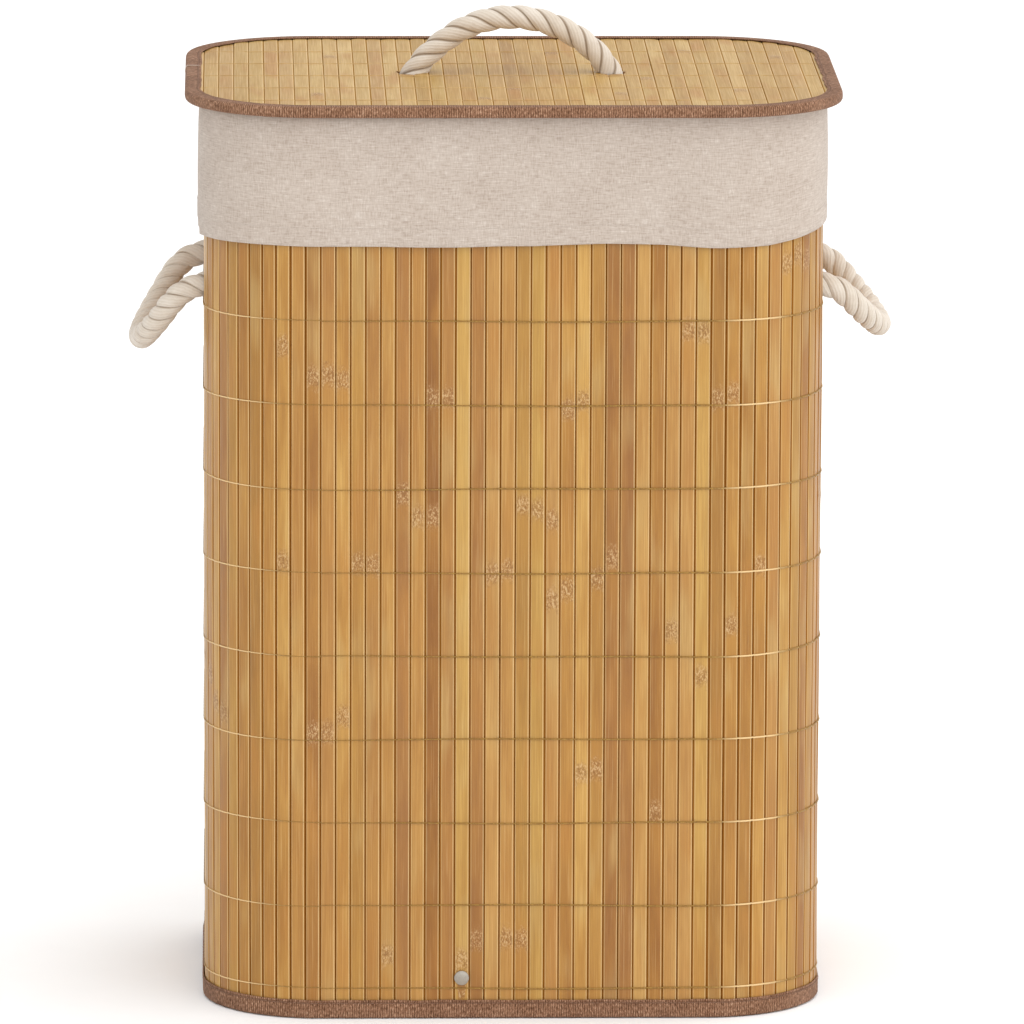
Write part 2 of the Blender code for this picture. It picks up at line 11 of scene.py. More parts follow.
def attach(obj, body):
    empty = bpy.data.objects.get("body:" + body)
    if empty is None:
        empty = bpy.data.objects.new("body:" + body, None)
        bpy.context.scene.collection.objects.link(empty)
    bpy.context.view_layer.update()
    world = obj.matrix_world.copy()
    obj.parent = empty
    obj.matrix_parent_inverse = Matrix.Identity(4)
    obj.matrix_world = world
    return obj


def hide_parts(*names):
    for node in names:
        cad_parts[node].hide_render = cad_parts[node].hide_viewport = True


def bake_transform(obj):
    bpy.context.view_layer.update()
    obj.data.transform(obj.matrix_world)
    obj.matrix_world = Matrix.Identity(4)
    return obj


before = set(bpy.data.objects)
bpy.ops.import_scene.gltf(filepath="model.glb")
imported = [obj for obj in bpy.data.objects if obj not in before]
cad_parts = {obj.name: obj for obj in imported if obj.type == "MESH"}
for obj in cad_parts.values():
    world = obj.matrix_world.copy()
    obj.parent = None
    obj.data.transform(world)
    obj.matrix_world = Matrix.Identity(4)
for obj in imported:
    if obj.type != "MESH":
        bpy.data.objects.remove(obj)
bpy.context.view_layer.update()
rng = np.random.default_rng(11)

# Sizes of the part, in metres
WIDTH, DEPTH, CORNER = 0.400, 0.300, 0.075
LID_WIDTH, LID_DEPTH, LID_CORNER = 0.424, 0.326, 0.084
SLAT_BOTTOM, SLAT_TOP = 0.0011, 0.5875
RIM_TOP = 0.5886
LID_BOTTOM, LID_TOP = 0.5902, 0.5973
LID_SLAT_Z, LID_SLAT_TOP = 0.5942, 0.5964
# Heights of the wall's threads, and how far back each of the lid's threads is
THREAD_ROWS = [0.0197 + 0.0547 * row for row in range(11)]
LID_THREAD_ROWS = [-0.124 + 0.0545 * row for row in range(5)]
LID_SLAT_PITCH = 0.00975
LID_HOLE_X = 0.066
LINER_INSET = 0.0082
ROPE = 0.0077  # radius
SIDE_HOLE_Y, SIDE_HOLE_Z = 0.064, 0.4675
LOOP_TIP_X = 0.2414
LOOP_TIP_Z = {"left": 0.4230, "right": 0.4317}
RIVET_X, RIVET_Z = 0.0337, 0.0266
SIDES = (("left", -1), ("right", 1))
UP = Vector((0, 0, 1))


def linked(name, data):
    """A new object in the scene."""
    item = bpy.data.objects.new(name, data)
    bpy.context.scene.collection.objects.link(item)
    return item


# ---------------------------------------------------------------- camera, light and floor

def set_camera():
    """A long lens from a little left of the middle, looking down on the lid."""
    place = Vector((-0.1799, -6.8318, 1.5903))
    pitch, yaw, roll = 0.18591, 0.02659, 0.00375
    forward = Vector((math.sin(yaw) * math.cos(pitch), math.cos(yaw) * math.cos(pitch), -math.sin(pitch)))
    level = Vector((math.cos(yaw), -math.sin(yaw), 0))
    above = level.cross(forward)
    right = math.cos(roll) * level + math.sin(roll) * above
    above = right.cross(forward)
    camera = linked("camera", bpy.data.cameras.new("camera"))
    camera.matrix_world = Matrix.Translation(place) @ Matrix((right, above, -forward)).transposed().to_4x4()
    camera.data.lens = 372.6
    camera.data.clip_end = 60
    bpy.context.scene.camera = camera


def soft_sun(name, towards, strength, spread):
    """A wide, even light from one direction, as from a large studio panel."""
    lamp = bpy.data.lights.new(name, "SUN")
    lamp.energy, lamp.angle = strength, math.radians(spread)
    linked(name, lamp).rotation_euler = Vector(towards).to_track_quat("Z", "Y").to_euler()


def set_light():
    scene = bpy.context.scene
    scene.view_settings.view_transform = "Standard"
    scene.world = bpy.data.worlds.new("studio")
    scene.world.use_nodes = True
    background = scene.world.node_tree.nodes["Background"]
    background.inputs[0].default_value = (1.0, 1.0, 1.0, 1)
    background.inputs[1].default_value = 0.70
    soft_sun("key", (0.78, -0.30, 0.60), 2.40, 140)
    soft_sun("fill", (-0.45, -0.72, 0.50), 0.66, 120)


# ---------------------------------------------------------------- materials

# How much every surface but the floor is toned down to sit right in the bright studio
SURFACE_TONE = 0.85


class Look:
    """A procedural material being put together."""

    def __init__(self, name, **fixed):
        self.material = bpy.data.materials.new(name)
        self.material.use_nodes = True
        self.tree = self.material.node_tree
        self.surface = self.tree.nodes["Principled BSDF"]
        for socket, value in fixed.items():
            self.surface.inputs[socket.replace("_", " ")].default_value = value

    def node(self, kind, *inputs, **settings):
        made = self.tree.nodes.new("ShaderNode" + kind)
        for key, value in settings.items():
            setattr(made, key, value)
        for index, value in enumerate(inputs):
            self.feed(made.inputs[index], value)
        return made

    def feed(self, socket, value):
        if isinstance(value, bpy.types.NodeSocket):
            self.tree.links.new(value, socket)
        elif value is not None:
            socket.default_value = value

    def math(self, operation, *inputs, clamp=False):
        return self.node("Math", *inputs, operation=operation, use_clamp=clamp).outputs[0]

    def plus(self, a, b, clamp=False):
        return self.math("ADD", a, b, clamp=clamp)

    def minus(self, a, b):
        return self.math("SUBTRACT", a, b)

    def times(self, a, b):
        return self.math("MULTIPLY", a, b)

    def scaled(self, value, factor, shift):
        return self.math("MULTIPLY_ADD", value, factor, shift)

    def ripple(self, angle):
        """A sine wave between 0 and 1."""
        return self.scaled(self.math("SINE", angle), 0.5, 0.5)

    def mix(self, factor, a, b, blend="MIX"):
        made = self.node("Mix", data_type="RGBA", blend_type=blend)
        for index, value in ((0, factor), (6, a), (7, b)):
            if isinstance(value, tuple) and len(value) == 3:
                value = value + (1,)
            self.feed(made.inputs[index], value)
        return made.outputs[2]

    def stretch(self, vector, scale):
        return self.node("VectorMath", vector, scale, operation="MULTIPLY").outputs[0]

    def shift(self, vector, by):
        return self.node("VectorMath", vector, by, operation="ADD").outputs[0]

    def noise(self, vector, scale=1.0, detail=2.0, roughness=0.5):
        return self.node("TexNoise", vector, None, scale, detail, roughness).outputs[0]

    def step(self, value, low, high, to_low=0.0, to_high=1.0):
        """A soft step: to_low where the value is low, to_high where it is high."""
        made = self.node("MapRange", value, low, high, to_low, to_high, interpolation_type="SMOOTHSTEP")
        return made.outputs[0]

    def ramp(self, factor, stops):
        made = self.node("ValToRGB", factor)
        ramp = made.color_ramp
        while len(ramp.elements) < len(stops):
            ramp.elements.new(0.5)
        for element, (place, colour) in zip(ramp.elements, stops):
            element.position, element.color = place, (*colour, 1)
        return made.outputs[0]

    def attribute(self, name):
        return self.node("Attribute", attribute_name=name).outputs[2]

    def place(self, output=3):
        """The point in the piece's own space: 3 is object space in metres, 2 is its UV map in metres."""
        return self.node("TexCoord").outputs[output]

    def apart(self, vector):
        return self.node("SeparateXYZ", vector).outputs

    def bump(self, height, distance, strength):
        made = self.node("Bump")
        for socket, value in (("Strength", strength), ("Distance", distance), ("Height", height)):
            self.feed(made.inputs[socket], value)
        return made.outputs[0]

    def finish(self, colour, roughness, normal=None, tone=SURFACE_TONE):
        colour = self.mix(1.0, colour, (tone, tone, tone), "MULTIPLY")
        for socket, value in (("Base Color", colour), ("Roughness", roughness), ("Normal", normal)):
            self.feed(self.surface.inputs[socket], value)
        return self.material


def bamboo(name, along, stops, gloss, gap):
    """Split bamboo: long grain, slat-to-slat tone, pale edges that are painted highlight, painted shade in
    the gaps and speckled knuckles.
    """
    look = Look(name, Coat_Roughness=0.28)
    point = look.place()
    tone, hue, across = (look.attribute(key) for key in ("tone", "hue", "across"))
    height = look.apart(point)["XYZ".index(along)]

    def grain(share):
        """Scales that draw a pattern out along the slat."""
        return tuple(share if axis == along else 1.0 for axis in "XYZ")

    drift = look.node("CombineXYZ", look.times(tone, 0.71), hue, tone).outputs[0]
    grain_point = look.stretch(look.shift(point, drift), grain(0.012))
    fine = look.noise(grain_point, 1500, 5, 0.62)
    fibre = look.noise(grain_point, 3600, 2, 0.5)
    broad = look.noise(look.stretch(look.shift(point, drift), grain(0.16)), 70, 3, 0.6)
    colour = look.ramp(look.plus(tone, look.scaled(broad, 1.3, -0.65)), stops)
    pink, green = (0.48, 0.234, 0.078), (0.51, 0.312, 0.062)
    colour = look.mix(look.step(hue, 0.42, 0.0, 0.0, 0.36), colour, pink)
    colour = look.mix(look.step(hue, 0.62, 1.0, 0.0, 0.45), colour, green)
    patch = look.noise(look.stretch(look.shift(point, drift), grain(0.3)), 38, 2, 0.5)
    colour = look.mix(look.step(patch, 0.52, 0.72, 0.0, 0.60), colour, (0.50, 0.215, 0.034))
    colour = look.mix(look.step(patch, 0.46, 0.28, 0.0, 0.42), colour, (0.61, 0.415, 0.150))
    colour = look.mix(look.step(fine, 0.35, 0.70, 0.0, 0.34), colour, (0.34, 0.160, 0.048))
    colour = look.mix(look.step(fine, 0.50, 0.20, 0.0, 0.40), colour, (0.74, 0.50, 0.235))
    colour = look.mix(look.step(fibre, 0.60, 0.78, 0.0, 0.40), colour, (0.25, 0.110, 0.032))

    # Knuckles: a bowed band of light and dark specks, up to two on a slat
    level = look.plus(height, look.times(look.times(across, across), 0.0022))
    level = look.plus(level, look.scaled(look.noise(point, 330, 2), 0.010, -0.005))
    speck = look.noise(look.stretch(point, grain(0.55)), 1050, 3, 0.75)
    bands = [look.step(look.math("ABSOLUTE", look.minus(level, look.attribute(key))), 0.0102, 0.0022)
             for key in ("knuckle_a", "knuckle_b")]
    knuckle = look.math("MAXIMUM", *bands)
    dark = look.times(knuckle, look.step(speck, 0.48, 0.60, 0.0, 0.62))
    light = look.times(knuckle, look.step(speck, 0.50, 0.38, 0.0, 0.58))
    colour = look.mix(look.times(knuckle, 0.45), colour, (0.40, 0.185, 0.052))
    below = look.minus(look.attribute("knuckle_a"), level)
    stain = look.times(look.step(below, 0.002, 0.010), look.step(below, 0.045, 0.012))
    colour = look.mix(look.times(stain, 0.30), colour, (0.50, 0.235, 0.040))
    colour = look.mix(dark, colour, (0.225, 0.095, 0.022))
    colour = look.mix(light, colour, (0.78, 0.55, 0.29))

    edge = look.math("ABSOLUTE", across)
    # Painted highlight: pale bands along both edges of each slat, stronger on the right side, where the key
    # light falls
    edge_highlight = look.times(look.step(edge, 0.78, 0.90), look.step(fine, 0.25, 0.6, 0.80, 0.50))
    edge_highlight = look.times(edge_highlight, look.step(across, -1.0, 1.0, 0.55, 1.0))
    colour = look.mix(edge_highlight, colour, (0.84, 0.60, 0.29))
    # Painted shade: the groove between neighbouring slats is coloured dark brown, where the gap's shade falls
    colour = look.mix(look.step(edge, 0.960, 1.02, 0.0, 0.97), colour, gap)
    rough = look.step(fine, 0.3, 0.7, gloss, gloss + 0.16)
    relief = look.plus(look.times(fine, 0.6), look.times(fibre, 0.4))
    relief = look.plus(relief, look.times(look.times(knuckle, speck), 0.9))
    shine = look.step(edge, 0.93, 1.0, 0.3, 0.0)
    look.feed(look.surface.inputs["Specular IOR Level"], shine)
    look.feed(look.surface.inputs["Coat Weight"], look.times(shine, 0.6))
    return look.finish(colour, rough, look.bump(relief, 0.00022, 0.8))


def weave(name, stops, thread, slub, sheen=0.0):
    """Plain-woven cloth from the piece's UV map in metres: crossing threads with slubs in both directions."""
    look = Look(name, Specular_IOR_Level=0.18, Sheen_Weight=sheen, Sheen_Roughness=0.45)
    point = look.place(2)
    wobble = look.scaled(look.noise(point, 160, 2), 0.0012, -0.0006)
    moved = look.shift(point, look.node("CombineXYZ", wobble, wobble, 0.0).outputs[0])
    parts = look.apart(moved)
    turn = 2 * math.pi / thread
    warp = look.math("SINE", look.times(parts[0], turn))
    weft = look.math("SINE", look.times(parts[1], turn))
    check = look.scaled(look.times(warp, weft), 0.5, 0.5)
    long_weft = look.noise(look.stretch(point, (0.11, 1.0, 1.0)), 0.9 / thread, 4, 0.7)
    long_warp = look.noise(look.stretch(point, (1.0, 0.16, 1.0)), 0.9 / thread, 4, 0.7)
    yarns = look.scaled(long_weft, 0.54, look.times(long_warp, 0.46))
    cloud = look.noise(point, 26, 4, 0.6)
    shade = look.plus(look.scaled(yarns, 2.9, -0.93), look.scaled(cloud, 0.50, -0.25))
    shade = look.plus(shade, look.scaled(check, 0.16, -0.08), clamp=True)
    colour = look.ramp(shade, stops)
    knots = look.noise(look.stretch(point, (0.16, 1.0, 1.0)), 0.55 / thread, 2, 0.5)
    colour = look.mix(look.step(knots, 0.66, 0.80, 0.0, slub), colour, stops[-1][1])
    threads = look.plus(look.times(check, 0.55), look.times(yarns, 1.1))
    return look.finish(colour, 0.92, look.bump(threads, 0.00018, 0.9))


def ribbed_tape(name):
    """Grosgrain tape: fine ribs across its length, flecked light and dark."""
    look = Look(name, Specular_IOR_Level=0.12, Sheen_Weight=0.06, Sheen_Roughness=0.5)
    point = look.place(2)
    parts = look.apart(point)
    wobble = look.scaled(look.noise(look.stretch(point, (1.0, 1.6, 1.0)), 260, 2), 0.0011, -0.00055)
    rib = look.ripple(look.times(look.plus(parts[0], wobble), 2 * math.pi / 0.00150))
    across = look.math("SINE", look.times(parts[1], 2 * math.pi / 0.00085))
    fleck = look.noise(look.stretch(point, (1.0, 0.45, 1.0)), 950, 3, 0.65)
    cloud = look.noise(point, 60, 3, 0.6)
    shade = look.scaled(fleck, 1.9, -0.74)
    shade = look.plus(shade, look.times(rib, 0.34))
    shade = look.plus(shade, look.scaled(cloud, 0.5, -0.25), clamp=True)
    colour = look.ramp(shade, ((0.0, (0.100, 0.042, 0.020)), (0.42, (0.275, 0.138, 0.078)),
                               (0.75, (0.475, 0.275, 0.172)), (1.0, (0.76, 0.51, 0.35))))
    seam = look.step(look.math("ABSOLUTE", look.minus(parts[1], 0.0021)), 0.0009, 0.0003, 0.0, 0.6)
    colour = look.mix(seam, colour, (0.130, 0.056, 0.030))
    relief = look.plus(look.times(rib, 0.8), look.times(across, 0.10))
    relief = look.minus(relief, seam)
    relief = look.plus(relief, look.times(fleck, 0.5))
    return look.finish(colour, 0.86, look.bump(relief, 0.00028, 0.9))


def yarn(name, dark, pale, rough, sheen=0.3):
    """Twisted sewing yarn: slanting plies along the piece's UV map."""
    look = Look(name, Specular_IOR_Level=0.4, Sheen_Weight=sheen)
    parts = look.apart(look.place(2))
    turn = look.plus(look.times(parts[0], 2 * math.pi * 2), look.times(parts[1], 5200))
    ply = look.ripple(turn)
    fleck = look.noise(look.place(), 900, 2)
    shade = look.plus(look.times(ply, 0.6), look.times(fleck, 0.5), clamp=True)
    return look.finish(look.mix(shade, dark, pale), rough, look.bump(ply, 0.0001, 0.8))


def cotton_rope(name):
    """Soft cotton strands: fine yarns laid along each strand, with painted shade brown in the grooves."""
    look = Look(name, Specular_IOR_Level=0.15, Sheen_Weight=0.35, Sheen_Roughness=0.4)
    point = look.place(2)
    parts = look.apart(point)
    inner = look.attribute("groove")
    lean = look.plus(look.times(parts[0], 13), look.times(parts[1], 62))
    wobble = look.scaled(look.noise(look.place(), 260, 2), 0.7, -0.35)
    yarns = look.ripple(look.times(look.plus(lean, wobble), 2 * math.pi))
    fuzz = look.noise(look.place(), 2100, 3, 0.7)
    cloud = look.noise(look.place(), 75, 3, 0.6)
    shade = look.plus(look.times(yarns, 0.20), look.times(fuzz, 0.55))
    shade = look.plus(shade, look.scaled(cloud, 0.75, -0.25), clamp=True)
    colour = look.ramp(shade, ((0.0, (0.58, 0.475, 0.370)), (0.45, (0.740, 0.650, 0.545)),
                               (0.8, (0.840, 0.765, 0.675)), (1.0, (0.92, 0.87, 0.80))))
    # Painted shade: brown where the strands turn into the grooves between them
    colour = look.mix(look.step(inner, 0.22, 0.37, 0.0, 0.70), colour, (0.26, 0.165, 0.085))
    relief = look.plus(look.times(yarns, 0.7), look.times(fuzz, 0.6))
    return look.finish(colour, 0.93, look.bump(relief, 0.00026, 0.8))


def nylon(name):
    """Thin glossy thread with a slight twist: brown on the flats, its slat-coloured tint darkened as painted
    shade, and pale at the corners as a painted glint.
    """
    look = Look(name, Specular_IOR_Level=0.35)
    twist = look.noise(look.place(), 900, 2)
    # Brown: the thread's slat-coloured tint, darkened by painted shade where it lies on the flats
    colour = look.ramp(twist, ((0.3, (0.26, 0.128, 0.020)), (0.7, (0.43, 0.240, 0.045))))
    # Painted glint: pale where the thread's attribute marks the corners that face the lights
    colour = look.mix(look.attribute("pale_and_glint"), colour, (0.95, 0.68, 0.34))
    return look.finish(colour, look.step(twist, 0.3, 0.7, 0.30, 0.45), look.bump(twist, 0.00006, 0.5))


def steel(name, colour, rough):
    """Plated steel with fine scratches and dull spots."""
    look = Look(name, Metallic=0.85)
    point = look.place()
    spots = look.noise(point, 420, 4, 0.65)
    scratch = look.noise(look.stretch(point, (1.0, 1.0, 0.08)), 2600, 3, 0.6)
    dull = look.mix(look.step(spots, 0.52, 0.72, 0.0, 0.5), colour, tuple(0.55 * part for part in colour))
    rough = look.step(scratch, 0.35, 0.65, rough, rough + 0.22)
    return look.finish(dull, rough, look.bump(scratch, 0.00005, 0.6))


def hardboard(name):
    """Pressed wood fibre."""
    look = Look(name, Specular_IOR_Level=0.25)
    fibres = look.noise(look.place(), 900, 5, 0.7)
    cloud = look.noise(look.place(), 40, 3)
    shade = look.plus(look.times(fibres, 0.8), look.times(cloud, 0.3), clamp=True)
    colour = look.ramp(shade, ((0.25, (0.13, 0.072, 0.036)), (0.8, (0.36, 0.22, 0.12))))
    return look.finish(colour, 0.8, look.bump(fibres, 0.0003, 0.7))


def floor_paint(name):
    look = Look(name, Specular_IOR_Level=0.1)
    grain = look.noise(look.place(), 30, 3)
    colour = look.ramp(grain, ((0.0, (0.95, 0.95, 0.95)), (1.0, (0.98, 0.98, 0.98))))
    return look.finish(colour, 0.9, tone=1.0)


WALL_TONES = ((0.0, (0.270, 0.095, 0.008)), (0.30, (0.385, 0.163, 0.021)),
              (0.65, (0.505, 0.246, 0.042)), (1.0, (0.650, 0.370, 0.088)))
LID_TONES = ((0.0, (0.410, 0.218, 0.040)), (0.35, (0.520, 0.300, 0.070)),
             (0.7, (0.600, 0.372, 0.102)), (1.0, (0.695, 0.460, 0.155)))
LINEN_TONES = ((0.0, (0.385, 0.300, 0.245)), (0.40, (0.550, 0.458, 0.386)),
               (0.70, (0.635, 0.545, 0.470)), (1.0, (0.770, 0.695, 0.625)))
LINING_TONES = ((0.0, (0.235, 0.185, 0.140)), (1.0, (0.440, 0.370, 0.300)))
BACKING_TONES = ((0.0, (0.060, 0.028, 0.010)), (1.0, (0.165, 0.080, 0.030)))
LOOKS = {
    # The last colour of each bamboo is the painted shade in the gaps between its slats
    "bamboo": bamboo("bamboo", "Z", WALL_TONES, 0.36, (0.350, 0.140, 0.022)),
    "lid_bamboo": bamboo("lid_bamboo", "Y", LID_TONES, 0.42, (0.440, 0.240, 0.070)),
    "linen": weave("linen", LINEN_TONES, 0.00078, slub=0.5, sheen=0.15),
    "lining": weave("lining", LINING_TONES, 0.0007, slub=0.2),
    "backing": weave("backing", BACKING_TONES, 0.0007, slub=0.1),
    "tape": ribbed_tape("tape"),
    "stitch": yarn("stitch", (0.210, 0.105, 0.062), (0.44, 0.26, 0.17), 0.8, 0.03),
    "hem_stitch": yarn("hem_stitch", (0.50, 0.41, 0.34), (0.78, 0.70, 0.61), 0.85),
    "rope": cotton_rope("rope"),
    "thread": nylon("thread"),
    "rivet": steel("rivet", (0.46, 0.42, 0.36), 0.38),
    "wire": steel("wire", (0.45, 0.45, 0.46), 0.30),
    "hardboard": hardboard("hardboard"),
}


# ---------------------------------------------------------------- mesh helpers

def distances(points):
    """How far along a line of points each of them is."""
    return np.concatenate([[0], np.cumsum(np.linalg.norm(np.diff(points, axis=0), axis=1))])


def unit(rows):
    """Each row scaled to length 1."""
    return rows / np.linalg.norm(rows, axis=1)[:, None]


def eased(share):
    """A soft start and stop between 0 and 1."""
    return share * share * (3 - 2 * share)


def add_mesh(name, points, faces, look, body=None, slot=None, replaces=(), uvs=None, values=None, sharp=None,
             outward=True):
    """A smooth-shaded mesh piece. uvs has a pair for each face corner, values a number for each point."""
    mesh = bpy.data.meshes.new(name)
    mesh.from_pydata([tuple(point) for point in np.asarray(points, float)], [], list(map(tuple, faces)))
    for key, numbers in (values or {}).items():
        mesh.attributes.new(key, "FLOAT", "POINT").data.foreach_set("value", np.asarray(numbers, np.float32))
    if uvs is not None:
        mesh.uv_layers.new(name="metres").data.foreach_set("uv", np.asarray(uvs, np.float32).ravel())
    mesh.shade_smooth()
    if sharp is not None:
        mesh.set_sharp_from_angle(angle=math.radians(sharp))
    mesh.materials.append(LOOKS[look])
    if outward:
        turn_faces_outwards(mesh)
    item = linked(name, mesh)
    if body:
        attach(item, body)
    if replaces:
        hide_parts(*replaces)
    return item


def turn_faces_outwards(mesh):
    """Turn every closed shell's faces outwards."""
    shape = bmesh.new()
    shape.from_mesh(mesh)
    bmesh.ops.recalc_face_normals(shape, faces=shape.faces)
    shape.to_mesh(mesh)
    shape.free()


def grid_corners(rows, columns, rows_closed):
    """Row and column numbers at the four corners of each quad of a grid whose rows are closed loops."""
    r = np.arange(rows if rows_closed else rows - 1)
    r, c = (a.ravel() for a in np.meshgrid(r, np.arange(columns), indexing="ij"))
    return (r, c), (r, c + 1), (r + 1, c + 1), (r + 1, c)


def grid_faces(rows, columns, rows_closed=False):
    """Quads over a grid of points numbered row by row."""
    corners = grid_corners(rows, columns, rows_closed)
    return np.stack([row % rows * columns + column % columns for row, column in corners], 1)


def grid_uvs(rows, columns, u, v, rows_closed=False):
    """UVs for grid_faces: u runs over the rows and v over the columns, each one longer if closed."""
    corners = grid_corners(rows, columns, rows_closed)
    return np.stack([np.stack([u[a], v[b]], 1) for a, b in corners], 1).reshape(-1, 2)


def capped_faces(rows, columns, base=0):
    """The faces of a tube whose rows are loops, with a cap at each end, from point number base on."""
    last = base + (rows - 1) * columns
    return [*(grid_faces(rows, columns) + base), range(base, base + columns),
            range(last + columns - 1, last - 1, -1)]


class Tubes:
    """The points, faces and UVs of capped tubes in one piece."""

    def __init__(self):
        self.points, self.faces, self.uvs = [], [], []

    def add(self, rows, along):
        """Add a tube from its loops of points and their places along it."""
        count, sides = rows.shape[:2]
        self.faces += capped_faces(count, sides, len(self.points))
        self.points += list(rows.reshape(-1, 3))
        self.uvs += list(grid_uvs(count, sides, along, np.arange(sides + 1) / sides)[:, ::-1])
        self.uvs += [(0.0, 0.0)] * (2 * sides)


class Ring:
    """Stations round a rounded rectangle, from the middle of the front, anticlockwise seen from above."""

    def __init__(self, width, depth, radius, spacing=0.005, arc_steps=16):
        points, normals = [], []
        turns = ((1, -1, -90), (1, 1, 0), (-1, 1, 90), (-1, -1, 180))
        flat = [depth - 2 * radius, width - 2 * radius, depth - 2 * radius, width / 2 - radius]
        self.run(points, normals, (0, -depth / 2), (width / 2 - radius, -depth / 2), (0, -1), spacing)
        for (sx, sy, start), length in zip(turns, flat):
            centre = np.array((sx * (width / 2 - radius), sy * (depth / 2 - radius)))
            for step in range(arc_steps):
                angle = math.radians(start + 90 * step / arc_steps)
                normal = np.array((math.cos(angle), math.sin(angle)))
                points.append(centre + radius * normal)
                normals.append(normal)
            angle = math.radians(start + 90)
            normal = np.array((math.cos(angle), math.sin(angle)))
            tangent = np.array((-normal[1], normal[0]))
            begin = centre + radius * normal
            self.run(points, normals, begin, begin + tangent * length, normal, spacing)
        self.points, self.normals = np.array(points), np.array(normals)
        gaps = np.linalg.norm(np.roll(self.points, -1, 0) - self.points, axis=1)
        self.length = gaps.sum()
        self.along = np.concatenate([[0], np.cumsum(gaps)])
        self.count = len(self.points)

    @staticmethod
    def run(points, normals, begin, end, normal, spacing):
        begin, end = np.array(begin, float), np.array(end, float)
        steps = max(1, round(np.linalg.norm(end - begin) / spacing))
        for step in range(steps):
            points.append(begin + (end - begin) * step / steps)
            normals.append(np.array(normal, float))

    def at(self, along, outwards=0.0):
        """Points at distances along the ring, moved outwards, with their normals."""
        along = np.mod(along, self.length)
        wrap = lambda a: np.vstack([a, a[:1]])
        point = np.stack([np.interp(along, self.along, wrap(self.points)[:, k]) for k in (0, 1)], -1)
        normal = np.stack([np.interp(along, self.along, wrap(self.normals)[:, k]) for k in (0, 1)], -1)
        normal /= np.linalg.norm(normal, axis=-1, keepdims=True)
        return point + normal * np.asarray(outwards)[..., None], normal


def band(name, ring, profile, look, **more):
    """Cloth or tape swept round a ring. profile: (outwards, height) pairs, for each station or for all."""
    profile = np.asarray(profile, float)
    if profile.ndim == 2:
        profile = np.broadcast_to(profile, (ring.count, *profile.shape))
    rows, columns = profile.shape[:2]
    flat = ring.points[:, None, :] + ring.normals[:, None, :] * profile[:, :, :1]
    points = np.concatenate([flat, profile[:, :, 1:]], 2).reshape(-1, 3)
    loop = profile.mean(0)
    uvs = grid_uvs(rows, columns, ring.along, distances(np.vstack([loop, loop[:1]])), True)
    return add_mesh(name, points, grid_faces(rows, columns, True), look, uvs=uvs, **more)


def rounded(points, radius=0.0004, steps=3):
    """A closed polyline with its corners rounded off."""
    points = [np.array(point, float) for point in points]
    made = []
    for index, point in enumerate(points):
        before, after = points[index - 1], points[(index + 1) % len(points)]
        into, out = before - point, after - point
        cut = min(radius, np.linalg.norm(into) * 0.45, np.linalg.norm(out) * 0.45)
        start = point + into / np.linalg.norm(into) * cut
        end = point + out / np.linalg.norm(out) * cut
        for step in range(steps + 1):
            t = step / steps
            made.append((1 - t) ** 2 * start + 2 * t * (1 - t) * point + t * t * end)
    return np.array(made)


def divided(points, spacing):
    """A polyline with extra points so that none are further apart than spacing. It isn't closed."""
    made = [np.array(points[0], float)]
    for start, end in zip(points, points[1:]):
        start, end = np.array(start, float), np.array(end, float)
        steps = max(1, math.ceil(np.linalg.norm(end - start) / spacing))
        made += [start + (end - start) * step / steps for step in range(1, steps + 1)]
    return np.array(made)


def waves(along, length, count, low, high, seed):
    """A smooth closed random curve of about unit size, from low to high waves round the ring."""
    draw = np.random.default_rng(seed)
    total = np.zeros_like(np.asarray(along, float))
    for _ in range(count):
        number = int(draw.integers(low, high + 1))
        total += draw.normal() * np.sin(2 * math.pi * number * along / length + draw.uniform(0, 6.28))
    return total / math.sqrt(count / 2)


def small_tubes(name, lines, radius, look, marks=None, **more):
    """Many thin rounded tubes in one piece, each along its own line. marks gives each point's share of pale
    colour, a painted glint on the wall threads.
    """
    tubes, sides = Tubes(), 6
    if marks is not None:
        more["values"] = {"pale_and_glint": np.repeat(marks, sides)}
    angles = 2 * math.pi * np.arange(sides) / sides
    for line in lines:
        line = np.asarray(line, float)
        count = len(line)
        tangents = unit(np.gradient(line, axis=0))
        helper = (0.31, 0.23, 0.92) if abs(tangents[count // 2][2]) < 0.8 else (0.9, 0.3, 0.1)
        side = unit(np.cross(tangents, helper))
        other = np.cross(tangents, side)
        size = radius * np.sqrt(np.clip(1 - np.linspace(-1, 1, count) ** 6, 0.16, 1))
        ring = (side[:, None, :] * np.cos(angles)[None, :, None]
                + other[:, None, :] * np.sin(angles)[None, :, None])
        tubes.add(line[:, None, :] + ring * size[:, None, None], distances(line))
    return add_mesh(name, tubes.points, tubes.faces, look, uvs=tubes.uvs, outward=False, **more)


# ---------------------------------------------------------------- ropes

def smooth_path(points, spacing):
    """A Catmull-Rom curve through the points, with even spacing."""
    points = np.array(points, float)
    padded = np.vstack([2 * points[0] - points[1], points, 2 * points[-1] - points[-2]])
    made = []
    for a, b, c, d in zip(padded, padded[1:], padded[2:], padded[3:]):
        for t in np.linspace(0, 1, 24, endpoint=False):
            made.append(0.5 * (2 * b + (c - a) * t + (2 * a - 5 * b + 4 * c - d) * t ** 2
                               + (3 * b - 3 * c + d - a) * t ** 3))
    made = np.array(made + [points[-1]])
    return resampled(made, spacing)


def resampled(points, spacing):
    gaps = distances(points)
    places = np.linspace(0, gaps[-1], max(2, round(gaps[-1] / spacing) + 1))
    return np.stack([np.interp(places, gaps, points[:, k]) for k in range(3)], 1)


